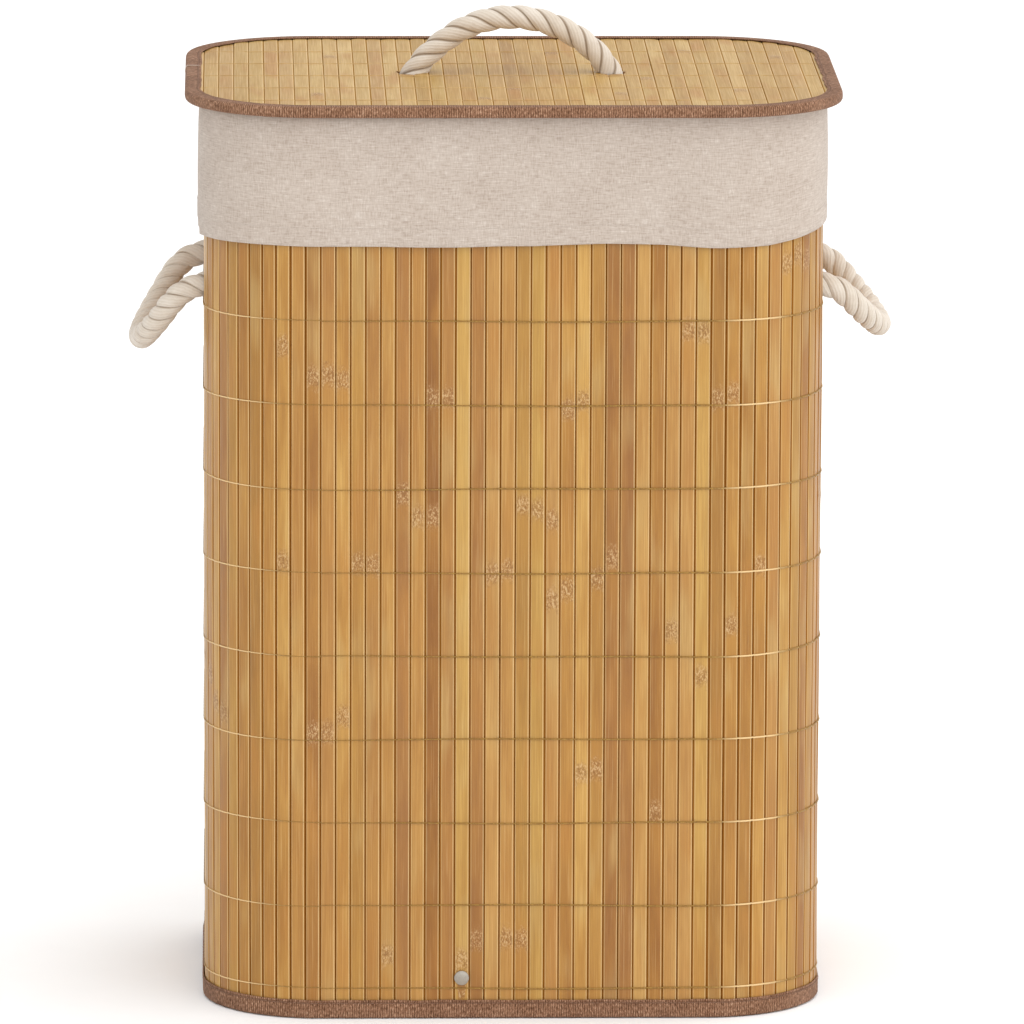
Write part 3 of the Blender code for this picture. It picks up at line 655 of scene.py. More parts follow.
def frames_along(path):
    """Two cross directions at each point, carried along without twisting."""
    tangents = unit(np.gradient(path, axis=0))
    normal = np.cross(tangents[0], (0.12, 0.05, 1.0) if abs(tangents[0][2]) < 0.9 else (1.0, 0.1, 0.05))
    normals = []
    for tangent in tangents:
        normal = normal - tangent * normal.dot(tangent)
        normal /= np.linalg.norm(normal)
        normals.append(normal)
    return np.array(normals), np.cross(tangents, normals)


def rope(name, path, radius=ROPE, lay=0.042, phase=0.0, taper=None, **more):
    """A three-strand right-handed rope along a path. lay is the length of one turn of a strand."""
    normals, binormals = frames_along(path)
    along = distances(path)
    scale = np.ones(len(path)) if taper is None else taper(along / along[-1])
    offset, deep, wide = 0.500 * radius, 0.525 * radius, 0.615 * radius
    tubes, sides = Tubes(), 26
    turn = 2 * math.pi * np.arange(sides) / sides
    bulge = np.sign(np.cos(turn)) * np.abs(np.cos(turn)) ** 0.90
    for number in range(3):
        angle = phase + 2 * math.pi * (along / lay + number / 3)
        swell = 1 + 0.03 * np.sin(along / 0.011 + 2.1 * number)
        outward = normals * np.cos(angle)[:, None] + binormals * np.sin(angle)[:, None]
        centre = path + outward * (offset * scale)[:, None]
        side = unit(np.cross(unit(np.gradient(centre, axis=0)), outward))
        ring = (outward[:, None, :] * (deep * bulge)[None, :, None]
                + side[:, None, :] * (wide * np.sin(turn))[None, :, None])
        tubes.add(centre[:, None, :] + ring * (scale * swell)[:, None, None], along)
    # How far each point is turned into the groove between strands, for the painted shade there
    groove = np.tile((1 - np.cos(turn)) / 2, 3 * len(path))
    return add_mesh(name, tubes.points, tubes.faces, "rope", slot="rope", uvs=tubes.uvs,
                    values={"groove": groove}, **more)


def fade_ends(share_along):
    """Rope thickness along its length: squeezed inside the knots at both ends."""
    away = np.minimum(share_along, 1 - share_along)
    return 0.62 + 0.38 * np.clip((away - 0.03) / 0.04, 0, 1) ** 0.7


def side_loop_path(side_name, side):
    """From the rear knot out through the wall, down round the loop and back in at the front."""
    first_slope, bend = math.radians(9), 0.031
    reach, drop = LOOP_TIP_X - WIDTH / 2, SIDE_HOLE_Z - LOOP_TIP_Z[side_name]

    def arc_to(slope):
        """How far out and down the bend goes by the time the rope slopes this much."""
        return (bend * (math.sin(slope) - math.sin(first_slope)),
                bend * (math.cos(first_slope) - math.cos(slope)))

    best = None
    for slope in np.radians(np.linspace(30, 80, 501)):
        arc_x, arc_z = arc_to(slope)
        straight = (reach - arc_x) / math.cos(slope)
        miss = abs(arc_z + straight * math.sin(slope) - drop)
        if straight > 0 and (best is None or miss < best[0]):
            best = (miss, slope, straight)
    _, slope, straight = best
    arc = bend * (slope - first_slope)
    points = []
    for angle in np.linspace(0, math.pi, 61):
        out = (arc + straight) * math.sin(angle)
        x, z = arc_to(min(slope, first_slope + out / bend))
        if out >= arc:
            x, z = x + (out - arc) * math.cos(slope), z + (out - arc) * math.sin(slope)
        points.append((side * (WIDTH / 2 + x), SIDE_HOLE_Y * math.cos(angle), SIDE_HOLE_Z - z))
    inward = [(side * (WIDTH / 2 - depth), SIDE_HOLE_Y, SIDE_HOLE_Z + depth * math.tan(first_slope))
              for depth in (0.024, 0.014, 0.005)]
    front = [(x, -y, z) for x, y, z in reversed(inward)]
    return resampled(smooth_path(inward + points[0::4] + front, 0.0014), 0.0014)


def knot_path(centre, axis, up):
    """A closed overhand knot round an axis."""
    axis, up = Vector(axis), Vector(up)
    other = axis.cross(up)
    points = []
    for t in np.linspace(0, 2 * math.pi, 150):
        a = 0.0030 * (math.sin(t) + 2 * math.sin(2 * t))
        b = 0.0030 * (math.cos(t) - 2 * math.cos(2 * t))
        points.append(Vector(centre) + up * a + other * b + axis * (-0.0046 * math.sin(3 * t)))
    return np.array(points)


def make_knot(node, centre, axis, up, body):
    rope(node + "_tied", knot_path(centre, axis, up), radius=0.0050, lay=0.026, body=body, replaces=[node])


def declare_rope(node, path):
    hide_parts(node)
    round(float(distances(path)[-1]), 3)


def make_side_rope(side_name, side):
    path = side_loop_path(side_name, side)
    item = rope(side_name + "_rope", path, lay=0.034, phase=0.4 if side < 0 else 1.3, taper=fade_ends)
    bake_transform(item)
    declare_rope(side_name + "_handle_rope", path)
    for end_name, end in (("front", -1), ("rear", 1)):
        make_knot(f"{side_name}_knot_{end_name}", (side * 0.1851, end * SIDE_HOLE_Y, SIDE_HOLE_Z + 0.001),
                  (side, 0, 0), (0, 0, 1), "basket")


def make_lid_rope():
    outline = ((-0.0715, 0.5740), (-0.0680, 0.5870), (-0.0612, 0.5995), (-0.0490, 0.6125), (-0.0310, 0.6250),
               (-0.0100, 0.6318), (0.0115, 0.6318), (0.0325, 0.6254), (0.0505, 0.6138), (0.0625, 0.6000),
               (0.0672, 0.5870), (0.0685, 0.5740))
    path = smooth_path([(x, 0, z) for x, z in outline], 0.0014)
    item = rope("lid_rope", path, phase=2.2, taper=fade_ends)
    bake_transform(item)
    declare_rope("lid_handle_rope", path)
    for side_name, side in SIDES:
        make_knot("lid_knot_" + side_name, (side * 0.0675, 0, 0.5800), (0, 0, 1), (1, 0, 0), "lid")


# ---------------------------------------------------------------- slats

def slat_section(half, deep_half, groove, thickness, crown):
    """A slat's outline as (across, outwards): its left half up to the middle of the face, then mirrored."""
    left = [(-deep_half, -thickness), (-deep_half, -groove), (-half - 0.00006, -groove * 0.62),
            (-half + 0.00012, -0.00024), (-half + 0.00045, -0.00008), (-half * 0.80, 0.0),
            (-half * 0.40, crown * 0.8)]
    return np.array(left + [(0.0, crown)] + [(-a, b) for a, b in reversed(left)])


def slat_mesh(name, slats, look, replaces, body):
    """One piece from many slats. Each slat is a dict: origin, across, outwards, along, span and so on."""
    points, faces = [], []
    near_knuckle = (-0.009, -0.005, -0.0025, 0, 0.0025, 0.005, 0.009)
    values = {key: [] for key in ("tone", "hue", "across", "knuckle_a", "knuckle_b")}
    for slat in slats:
        draw = np.random.default_rng(slat["seed"])
        half = slat["width"] / 2
        section = slat_section(half, slat["pitch"] / 2 - 0.00006, slat["groove"], slat["thickness"], 0.00012)
        start, end = slat["span"]
        rows = set(np.linspace(start, end, 24))
        for knuckle in slat["knuckles"]:
            rows |= {min(max(knuckle + away, start), end) for away in near_knuckle}
        rows = np.array(sorted(rows))
        phase = draw.uniform(0, 6.28, 4)
        sideways = slat["sway"] * (np.sin(rows * 9 + phase[0]) + 0.5 * np.sin(rows * 23 + phase[1]))
        depth = 0.00012 * (np.sin(rows * 13 + phase[2]) + np.sin(rows * 31 + phase[3])) - slat["sunk"]
        lift = np.zeros(len(rows))
        for knuckle in slat["knuckles"]:
            lift += 0.00022 * np.exp(-((rows - knuckle) / 0.0032) ** 2)
        lean = draw.normal() * 0.024
        outer = np.abs(section[:, 0]) < half - 0.0001
        across = section[None, :, 0] + sideways[:, None] * outer[None, :]
        outwards = (section[None, :, 1] + section[None, :, 0] * lean + depth[:, None]
                    + lift[:, None] * outer[None, :])
        origin, *axes = (np.array(slat[key]) for key in ("origin", "across", "outwards", "along"))
        grid = (origin + across[:, :, None] * axes[0] + outwards[:, :, None] * axes[1]
                + rows[:, None, None] * axes[2])
        count, columns = grid.shape[:2]
        faces += capped_faces(count, columns, len(points))
        points += list(grid.reshape(-1, 3))
        a, b = (slat["knuckles"] + [-9.0, -9.0])[:2]
        for key, value in (("tone", slat["tone"]), ("hue", slat["hue"]), ("knuckle_a", a), ("knuckle_b", b)):
            values[key] += [value] * (count * columns)
        # gap_paint sets how wide the band of painted shade along the slat's sides is
        values["across"] += list(np.tile(section[:, 0] / half * slat["gap_paint"], count))
    return add_mesh(name, points, faces, look, body, look, replaces, values=values, sharp=50)


def drill(item, holes):
    """Cut round holes, each (centre, axis, radius), through a piece."""
    for centre, axis, radius in holes:
        shape = bmesh.new()
        turn = UP.rotation_difference(Vector(axis)).to_matrix().to_4x4()
        bmesh.ops.create_cone(shape, cap_ends=True, segments=40, radius1=radius, radius2=radius, depth=0.04,
                              matrix=Matrix.Translation(centre) @ turn)
        mesh = bpy.data.meshes.new("drill")
        shape.to_mesh(mesh)
        shape.free()
        cutter = linked("drill", mesh)
        made = item.modifiers.new("drill", "BOOLEAN")
        made.operation, made.solver, made.object = "DIFFERENCE", "EXACT", cutter
        with bpy.context.temp_override(object=item, active_object=item):
            bpy.ops.object.modifier_apply(modifier=made.name)
        bpy.data.objects.remove(cutter)
    item.data.set_sharp_from_angle(angle=math.radians(50))


def side_holes(radius, sides=(-1, 1)):
    """The holes in the wall for the side ropes."""
    return [((side * WIDTH / 2, end * SIDE_HOLE_Y, SIDE_HOLE_Z), (1, 0, 0), radius)
            for side in sides for end in (-1, 1)]


def lid_holes(z, radius):
    """The holes in the lid for its rope, at height z."""
    return [((side * LID_HOLE_X, 0, z), (0, 0, 1), radius) for side in (-1, 1)]


# Runs of slats, anticlockwise seen from above, and how many slats each has
WALL_RUNS = (("front", 26), ("corner_front_right", 12), ("right", 15), ("corner_back_right", 12),
             ("back", 26), ("corner_back_left", 12), ("left", 15), ("corner_front_left", 12))
# Knuckle groups on the front: middle in metres from the centre line, height, and how many slats they span
FRONT_KNUCKLES = ((-0.116, 0.424, 3), (-0.117, 0.193, 3), (-0.064, 0.334, 3), (-0.044, 0.400, 2),
                  (0.018, 0.336, 3), (-0.010, 0.290, 2), (0.037, 0.400, 2), (0.058, 0.296, 2),
                  (0.030, 0.275, 2), (0.116, 0.454, 2), (0.116, 0.216, 1), (0.100, 0.250, 1),
                  (-0.147, 0.310, 1), (-0.100, 0.300, 2), (0.050, 0.165, 2), (-0.030, 0.047, 2),
                  (-0.078, 0.048, 1), (-0.002, 0.055, 2), (0.095, 0.140, 1), (0.135, 0.255, 1))


def wall_runs():
    """For each run of slats round the wall: its name, number of slats, start and length along the outline."""
    flat = {"front": WIDTH - 2 * CORNER, "left": DEPTH - 2 * CORNER}
    flat.update(back=flat["front"], right=flat["left"])
    start = -(WIDTH / 2 - CORNER)
    for run, count in WALL_RUNS:
        length = flat.get(run, CORNER * math.pi / 2)
        yield run, count, start, length
        start += length


def wall_slats():
    """The places, tones and knuckles of every slat round the wall, by run."""
    runs = {}
    ring = Ring(WIDTH, DEPTH, CORNER, arc_steps=45)
    for run, count, position, length in wall_runs():
        pitch = length / count
        made = []
        for number in range(count):
            point, normal = ring.at(np.array([position + pitch * (number + 0.5)]))
            tone = float(np.clip(rng.normal(0.54, 0.25), 0.0, 1.0))
            if rng.random() < 0.10:
                tone *= 0.15
            slat = {"origin": (*point[0], 0), "outwards": (*normal[0], 0),
                    "across": (-normal[0][1], normal[0][0], 0), "along": (0, 0, 1),
                    "span": (SLAT_BOTTOM, SLAT_TOP), "thickness": 0.0023, "pitch": pitch,
                    "width": pitch - 0.00110 + rng.normal() * 0.00018, "sway": 0.00010, "tone": tone,
                    "sunk": 0.00024 + 0.00012 * abs(rng.normal()),
                    "hue": float(rng.random()), "seed": int(rng.integers(1 << 30)), "knuckles": [],
                    "groove": 0.0009, "gap_paint": 1.0}
            # On the corners the band of painted gap shade is wider and the groove deeper, because more light
            # reaches the gaps there
            if run.startswith("corner"):
                slat.update(sunk=slat["sunk"] - 0.00020, width=pitch - 0.00120, groove=0.0013,
                            gap_paint=1.035)
            made.append(slat)
        runs[run] = made
    seen = runs["front"] + runs["corner_front_left"][-3:] + runs["corner_front_right"][:3]
    for middle, height, span in FRONT_KNUCKLES:
        for slat in sorted(seen, key=lambda slat: abs(slat["origin"][0] - middle))[:span]:
            if len(slat["knuckles"]) < 2:
                slat["knuckles"].append(float(height + rng.normal() * 0.0055))
    for run, made in runs.items():
        if run == "front":
            continue
        number = 0
        while number < len(made):
            span = int(rng.integers(1, 4))
            height = rng.uniform(0.05, 0.50)
            for slat in made[number:number + span]:
                if len(slat["knuckles"]) < 2 and rng.random() < 0.75:
                    slat["knuckles"].append(float(height + rng.normal() * 0.006))
            number += span + int(rng.integers(1, 4))
    return runs


def make_wall_slats():
    for run, slats in wall_slats().items():
        node = "corner_slats" + run[len("corner"):] if run.startswith("corner") else "slats_" + run
        item = slat_mesh("wall_" + run, slats, "bamboo", [node], "basket")
        if run in ("left", "right"):
            drill(item, side_holes(0.0090, [dict(SIDES)[run]]))
        if run in ("front", "back"):
            end = -1 if run == "front" else 1
            drill(item, [((end * RIVET_X, end * DEPTH / 2, RIVET_Z), (0, 1, 0), 0.0024)])


def make_lid_slats():
    """Slats from front to back, each ended where the lid's outline is."""
    count, pitch, margin, slats = 43, LID_SLAT_PITCH, 0.0012, []
    for number in range(count):
        x = (number - (count - 1) / 2) * pitch
        if abs(x) + pitch / 2 > LID_WIDTH / 2 - margin:
            continue
        beyond = max(0.0, abs(x) + pitch / 2 - (LID_WIDTH / 2 - LID_CORNER))
        reach = LID_DEPTH / 2 - LID_CORNER + math.sqrt(max((LID_CORNER - margin) ** 2 - beyond ** 2, 0.0))
        tone = float(np.clip(rng.normal(0.60, 0.17), 0, 1))
        slats.append({"origin": (x, 0, LID_SLAT_TOP), "outwards": (0, 0, 1), "across": (1, 0, 0),
                      "along": (0, 1, 0), "span": (-reach, reach), "thickness": 0.0020, "pitch": pitch,
                      "groove": 0.0005, "width": pitch - 0.00062 + rng.normal() * 0.0001, "sway": 0.00006,
                      "tone": tone, "hue": float(rng.random()), "seed": int(rng.integers(1 << 30)),
                      "knuckles": [float(rng.uniform(-0.13, 0.13))] if rng.random() < 0.3 else [],
                      "sunk": 0.00024, "gap_paint": 1.0})
    item = slat_mesh("lid_top_slats", slats, "lid_bamboo", ["lid_slats"], "lid")
    drill(item, lid_holes(LID_SLAT_Z, 0.0086))


def thread_line(points_at, marks, top, dip):
    """A thread that lies on each slat and dips at each gap. marks are the gaps' places along the row."""
    shape = ((0.0, dip), (0.10, top * 0.9), (0.3, top), (0.5, top * 1.05), (0.7, top), (0.90, top * 0.9))
    made = []
    for start, end in zip(marks, marks[1:]):
        made += [points_at(start + (end - start) * share, height) for share, height in shape]
    made.append(points_at(marks[-1], dip))
    return np.array(made)


def make_threads():
    """The rows of threads that tie the slats of the wall and of the lid."""
    ring = Ring(WIDTH, DEPTH, CORNER, arc_steps=45)
    runs = list(wall_runs())
    marks = [start + length * k / count for _, count, start, length in runs for k in range(count)]
    marks.append(runs[-1][2] + runs[-1][3])
    for row, z in enumerate(THREAD_ROWS):
        wave = np.random.default_rng(300 + row).uniform(0, 6.28, 2)

        def at(along, height):
            _, normal = ring.at(np.array([along]))
            height += 0.00014 * min(1.0, 4 * abs(normal[0][0] * normal[0][1]))
            point, _ = ring.at(np.array([along]), np.array([height]))
            level = z + 0.0004 * math.sin(along * 14 + wave[0]) + 0.00025 * math.sin(along * 37 + wave[1])
            return (*point[0], level)

        line = thread_line(at, marks, 0.00010, -0.0006)
        # Painted glint: the threads turn pale where they round the corners towards the lights, about 52
        # degrees to the left and 27 to the right
        _, normals = ring.at(np.linspace(marks[0], marks[-1], len(line)))
        side = np.degrees(np.arctan2(normals[:, 0], np.abs(normals[:, 1])))
        pale_and_glint = 0.9 * np.maximum(np.exp(-((side + 52) / 27) ** 4), np.exp(-((side - 27) / 15) ** 4))
        small_tubes(f"tie_thread_{row + 1:02d}", [line], 0.00060, "thread", body="basket", slot="thread",
                    marks=pale_and_glint, replaces=[f"wall_thread_{row + 1:02d}"])
    for row, y in enumerate(LID_THREAD_ROWS):
        radius = LID_CORNER - 0.0105
        beyond = max(0.0, abs(y) + 0.0008 - (LID_DEPTH / 2 - LID_CORNER))
        half = LID_WIDTH / 2 - LID_CORNER + math.sqrt(radius ** 2 - beyond ** 2) - 0.0005
        marks = [x for x in (LID_SLAT_PITCH * (k - 21.5) for k in range(44)) if abs(x) < half]
        line = thread_line(lambda x, height: (x, y + 0.0003 * math.sin(40 * x + row), LID_SLAT_TOP + height),
                           [-half] + marks + [half], 0.00001, -0.0005)
        # On the lid the threads get a fixed share of the pale colour, so they take the slats' tone
        small_tubes(f"lid_tie_thread_{row + 1}", [line], 0.00020, "thread", body="lid", slot="thread",
                    marks=np.full(len(line), 0.52), replaces=[f"lid_thread_{row + 1}"])


# ---------------------------------------------------------------- tapes and cloth

def folded_tape(inner, end, flap_outer, flap_inner):
    """Section, as (outwards, height), of a tape folded over an edge at height end, with two flaps."""
    outer, thickness = 0.0012, 0.0008
    middle = (outer + inner) / 2
    sign = 1 if flap_outer > end else -1
    turn = thickness * 1.3
    points = [
        (outer, flap_outer), (outer, end + sign * turn), (outer - turn, end), (inner + turn, end),
        (inner, end + sign * turn), (inner, flap_inner), (inner + thickness, flap_inner),
        (inner + thickness, end + sign * (turn + thickness)), (middle, end + sign * thickness),
        (outer - thickness, end + sign * (turn + thickness)), (outer - thickness, flap_outer),
    ]
    return rounded(points, 0.00035, 2)


def tape_with_waves(ring, section, seed, size=0.00012, height=0.00018):
    """The section at each station, with a little unevenness."""
    sway = waves(ring.along[:-1], ring.length, 5, 20, 60, seed)
    lift = waves(ring.along[:-1], ring.length, 5, 12, 45, seed + 1)
    profile = np.repeat(section[None, :, :], ring.count, 0)
    profile[:, :, 0] += size * sway[:, None] * 0.5
    middle = (section[:, 1].min() + section[:, 1].max()) / 2
    fold = section[:, 1].min() if section[0, 1] > middle else section[:, 1].max()
    free = np.abs(section[:, 1] - fold)
    profile[:, :, 1] += height * lift[:, None] * (free / free.max())[None, :]
    return profile


def stitch_row(ring, pitch, long, lift, outwards, height):
    """Lines for a row of stitches round a ring. outwards and height are functions of the place along it."""
    count = round(ring.length / pitch)
    lines = []
    for number in range(count):
        places = number * ring.length / count + np.array([0, long / 2, long])
        point, _ = ring.at(places, outwards(places) + np.array([-lift[0], lift[1], -lift[0]]))
        lines.append(np.column_stack([point, height(places)]))
    return lines


def make_tape(name, ring, profile, node, body="basket"):
    item = band(name, ring, profile, "tape", body=body, slot="binding_tape", replaces=[node])


def make_tapes():
    """The tapes folded over the wall's foot and rim and round the lid's edge, with their stitches."""
    ring = Ring(WIDTH, DEPTH, CORNER, spacing=0.004)
    foot = folded_tape(-0.0046, 0.0, 0.0120, 0.0116)
    make_tape("foot_tape", ring, tape_with_waves(ring, foot, 21), "bottom_binding")
    rim = folded_tape(-0.0079, RIM_TOP, RIM_TOP - 0.012, RIM_TOP - 0.012)
    make_tape("rim_tape", ring, tape_with_waves(ring, rim, 23), "rim_binding")
    draw = np.random.default_rng(5)
    stitches = stitch_row(ring, 0.0028, 0.0022, (0.00012, 0.00012), lambda _: 0.00132,
                          lambda _: np.full(3, 0.0100 + draw.normal() * 0.00008))
    small_tubes("foot_tape_stitches", stitches, 0.00022, "stitch", body="basket", slot="binding_tape")

    lid_ring = Ring(LID_WIDTH, LID_DEPTH, LID_CORNER, spacing=0.004)
    middle = (LID_BOTTOM + LID_TOP) / 2
    edge = [(-0.0105, LID_TOP), (-0.0014, LID_TOP), (-0.0003, LID_TOP - 0.0012), (0.0, middle),
            (-0.0003, LID_BOTTOM + 0.0012), (-0.0014, LID_BOTTOM), (-0.0105, LID_BOTTOM),
            (-0.0105, LID_BOTTOM + 0.0006), (-0.0018, LID_BOTTOM + 0.0006), (-0.0009, LID_BOTTOM + 0.0016),
            (-0.0006, middle), (-0.0009, LID_TOP - 0.0016), (-0.0018, LID_TOP - 0.0006),
            (-0.0105, LID_TOP - 0.0006)]
    section = rounded(edge, 0.0006, 2)
    sway = waves(lid_ring.along[:-1], lid_ring.length, 6, 15, 60, 31)
    profile = np.repeat(section[None], lid_ring.count, 0)
    inner_edge = np.clip((-section[:, 0] - 0.004) / 0.006, 0, 1)
    profile[:, :, 0] += 0.00030 * sway[:, None] * inner_edge[None, :]
    make_tape("lid_edge_tape", lid_ring, profile, "lid_binding",
              "lid")
    stitches = stitch_row(lid_ring, 0.0030, 0.0022, (0.0, 0.0), lambda _: -0.0086,
                          lambda _: LID_TOP + np.array([-0.0001, 0.00012, -0.0001]))
    small_tubes("lid_tape_stitches", stitches, 0.00020, "stitch", body="lid", slot="binding_tape")

    # The light line where the lid tape's two ends meet, over the edge on the left
    outline = ((0.0104, LID_TOP), (0.0014, LID_TOP), (0.0003, LID_TOP - 0.0012),
               (-0.0001, LID_BOTTOM + 0.0034), (0.0003, LID_BOTTOM + 0.0012))
    line = divided([(inwards - LID_WIDTH / 2, height) for inwards, height in outline], 0.0008)
    line = [(x, 0.024 + 0.0002 * math.sin(900 * z + 400 * x), z) for x, z in line]
    small_tubes("lid_tape_seam", [line], 0.00024, "hem_stitch", body="lid", slot="binding_tape")


def make_cuff():
    """The liner's top, turned out over the rim and hanging down outside, with a stitched hem."""
    ring = Ring(WIDTH, DEPTH, CORNER, spacing=0.004)
    along = ring.along[:-1]
    hem_top, thick = 0.0115, 0.0007
    front = np.clip(-ring.normals[:, 1], 0, 1)
    x = ring.points[:, 0]
    level = np.interp(x, (-0.125, 0.010, 0.055, 0.095, 0.128), (0.5062, 0.5064, 0.5082, 0.5078, 0.5052))
    rightward = eased(np.clip((x + 0.125) / 0.25, 0, 1))
    turned_left, turned_right = -0.004 * (1 - front) ** 3, 0.0108 * np.clip(0.88 - front, 0, 0.8) ** 0.85
    levelling = np.clip((0.10 - ring.points[:, 1]) / 0.175, 0, 1)
    bottom = level + (turned_left * (1 - rightward) + turned_right * rightward) * levelling
    bottom += 0.0003 * waves(along, ring.length, 5, 4, 16, 41)
    fold = waves(along, ring.length, 6, 4, 15, 42)
    ripple = waves(along, ring.length, 6, 18, 46, 43)
    top = LID_BOTTOM - 0.0004
    shares = np.linspace(0, 1, 26)
    profile = []
    for station in range(ring.count):
        drop = top - 0.0012 - bottom[station]
        wave = (1 - 0.6 * rightward[station]) * (0.00085 * fold[station] + 0.00040 * ripple[station])
        section = []
        for share in shares:
            z = top - 0.0012 - share * drop
            out = 0.0027 - 0.0005 * rightward[station] + 0.0007 * math.sin(math.pi * share)
            out = max(out + share ** 1.4 * wave, 0.0021)
            above_hem = z - bottom[station]
            pinch = math.exp(-((above_hem - hem_top) / 0.0011) ** 2)
            out += 0.00035 * (1 if above_hem < hem_top else 0) - 0.00038 * pinch
            section.append((out, z))
        out, z = section[-1]
        section += [(out - 0.0003, z - 0.0004), (out - 0.0010, z - 0.0004), (out - 0.0013, z)]
        for out, z in section[len(shares) - 1:0:-1]:
            section.append((out - (0.0013 if z - bottom[station] < hem_top else thick), z))
        section += [(0.0013, top - 0.0010), (-0.0080, top - 0.0010), (-0.0083, top - 0.0016),
                    (-0.0083, 0.5602), (-0.0091, 0.5602), (-0.0091, top - 0.0010), (-0.0086, top - 0.0001),
                    (-0.0040, top), (0.0014, top), (0.0023, top - 0.0005)]
        profile.append(section)
    profile = np.array(profile)
    item = band("cuff", ring, profile, "linen", body="liner", slot="liner_cloth", replaces=["liner_cuff"])

    # Stitches along the top of the hem
    face = [np.interp(hem_top, section[25::-1, 1] - low, section[25::-1, 0])
            for section, low in zip(profile, bottom)]

    def round_ring(values):
        return lambda places: np.interp(np.mod(places, ring.length), ring.along, np.append(values, values[0]))

    lines = stitch_row(ring, 0.0031, 0.0023, (0.0001, 0.00018), round_ring(face),
                       round_ring(bottom + hem_top))
    stitches = small_tubes("cuff_stitches", lines, 0.00020, "hem_stitch", body="liner", slot="liner_cloth")


def make_liner():
    """The bag inside: it narrows below the rim, hangs in soft folds and rests on the base."""
    top = Ring(WIDTH - 2 * LINER_INSET, DEPTH - 2 * LINER_INSET, CORNER - LINER_INSET, spacing=0.006)
    levels = np.concatenate([[0.5597], np.linspace(0.5500, 0.5020, 7), np.linspace(0.49, 0.03, 34),
                             [0.0200, 0.0145, 0.0115, 0.0105]])
    along = top.along[:-1]
    folds = [waves(along, top.length, 6, 5, 16, seed) for seed in (61, 62, 63)]
    creases = waves(along, top.length, 8, 24, 60, 64)
    angle = np.arctan2(top.points[:, 1], top.points[:, 0])
    half_x, half_y, radius = 0.1715, 0.1350, 0.056
    scale = (half_x - radius) / (WIDTH / 2 - CORNER), (half_y - radius) / (DEPTH / 2 - CORNER)
    waist = (top.points - top.normals * (CORNER - LINER_INSET)) * scale + top.normals * radius
    rows = []
    for z in levels:
        share = eased(np.clip((0.5597 - z) / (0.5597 - 0.495), 0, 1))
        base = top.points * (1 - share) + waist * share
        hang = np.clip((0.5597 - z) / 0.10, 0, 1) * np.clip((z - 0.010) / 0.05, 0, 1)
        t = z / 0.55
        fold = folds[0] * np.cos(3 * t) + folds[1] * np.sin(4 * t) + folds[2] * np.cos(7 * t + 1)
        inward = hang * (0.0022 + 0.0016 * fold + 0.0006 * creases * np.sin(9 * t + angle))
        tuck = 0.010 * np.clip((0.030 - z) / 0.020, 0, 1) ** 2
        inward = np.clip(inward, 0.0, 0.008) + tuck
        rows.append(np.concatenate([base - top.normals * inward[:, None], np.full((top.count, 1), z)], 1))
    outer = np.array(rows).transpose(1, 0, 2)
    thickness = np.concatenate([top.normals, np.zeros((top.count, 1))], 1)[:, None, :] * 0.0009
    inner = (outer - thickness)[:, ::-1, :]
    grid = np.concatenate([outer, inner], 1)
    count, columns = grid.shape[:2]
    down = distances(grid[0])
    uvs = grid_uvs(count, columns, top.along, np.append(down, down[-1] + 0.001), True)
    item = add_mesh("bag_side", grid.reshape(-1, 3), grid_faces(count, columns, True), "linen", body="liner",
                    slot="liner_cloth", replaces=["liner_side"], uvs=uvs)
    make_bag_bottom()


def fan_sheet(name, ring, z, thickness, look, dents=0.0, **more):
    """A flat sheet inside a ring, as shrinking copies of the outline, with shallow dents."""
    draw = np.random.default_rng(71)
    rings = 14
    shares = np.linspace(1, 0.0, rings + 1)[:-1]
    hills = [(draw.uniform(-0.8, 0.8, 2) * (0.15, 0.11), draw.uniform(0.03, 0.06), draw.normal())
             for _ in range(14)]
    grids = []
    for height, order in ((z + thickness, shares), (z, shares[::-1])):
        for share in order:
            flat = ring.points * share
            lift = sum(size * np.exp(-((flat - centre) ** 2).sum(1) / width ** 2)
                       for centre, width, size in hills)
            edge = np.clip((1 - share) * 5, 0, 1)
            grids.append(np.concatenate([flat, (height + dents * edge * np.maximum(lift, 0))[:, None]], 1))
    grid = np.array(grids).transpose(1, 0, 2)
    count, columns = grid.shape[:2]
    points = grid.reshape(-1, 3)
    quads = grid_faces(count, columns, True)
    keep = ~((quads % columns == rings - 1).any(1) & (quads % columns == rings).any(1))
    faces = [*quads[keep], range(rings - 1, count * columns, columns),
             range((count - 1) * columns + rings, 0, -columns)]
    uvs = [points[index][:2] for face in faces for index in face]
    return add_mesh(name, points, faces, look, uvs=uvs, **more)


def make_bag_bottom():
    ring = Ring(2 * 0.1690, 2 * 0.1325, 0.0535, spacing=0.006)
    item = fan_sheet("bag_bottom", ring, 0.0090, 0.0009, "linen", dents=0.0022, body="liner",
                     slot="liner_cloth", replaces=["liner_bottom"])


def make_base():
    ring = Ring(WIDTH - 0.0142, DEPTH - 0.0142, CORNER - 0.0071, spacing=0.006)
    item = fan_sheet("base_cover", ring, 0.0054, 0.0006, "lining", body="basket", slot="backing_cloth",
                     replaces=["base_cloth"])
    ring = Ring(WIDTH, DEPTH, CORNER, spacing=0.004)
    top, low = 0.0071, 0.0010
    edge = [(-0.0180, top), (-0.0066, top), (-0.0060, top - 0.0008), (-0.0060, low + 0.0008), (-0.0066, low),
            (-0.0180, low), (-0.0180, low + 0.0007), (-0.0068, low + 0.0008), (-0.0068, top - 0.0008),
            (-0.0180, top - 0.0007)]
    make_tape("base_edge_tape", ring, tape_with_waves(ring, rounded(edge, 0.0003, 2), 81, 0.00005, 0.0),
              "base_binding")
    for end_name, end in (("front", -1), ("back", 1)):
        make_tab(end_name, end)
        make_rivet(end_name, end)


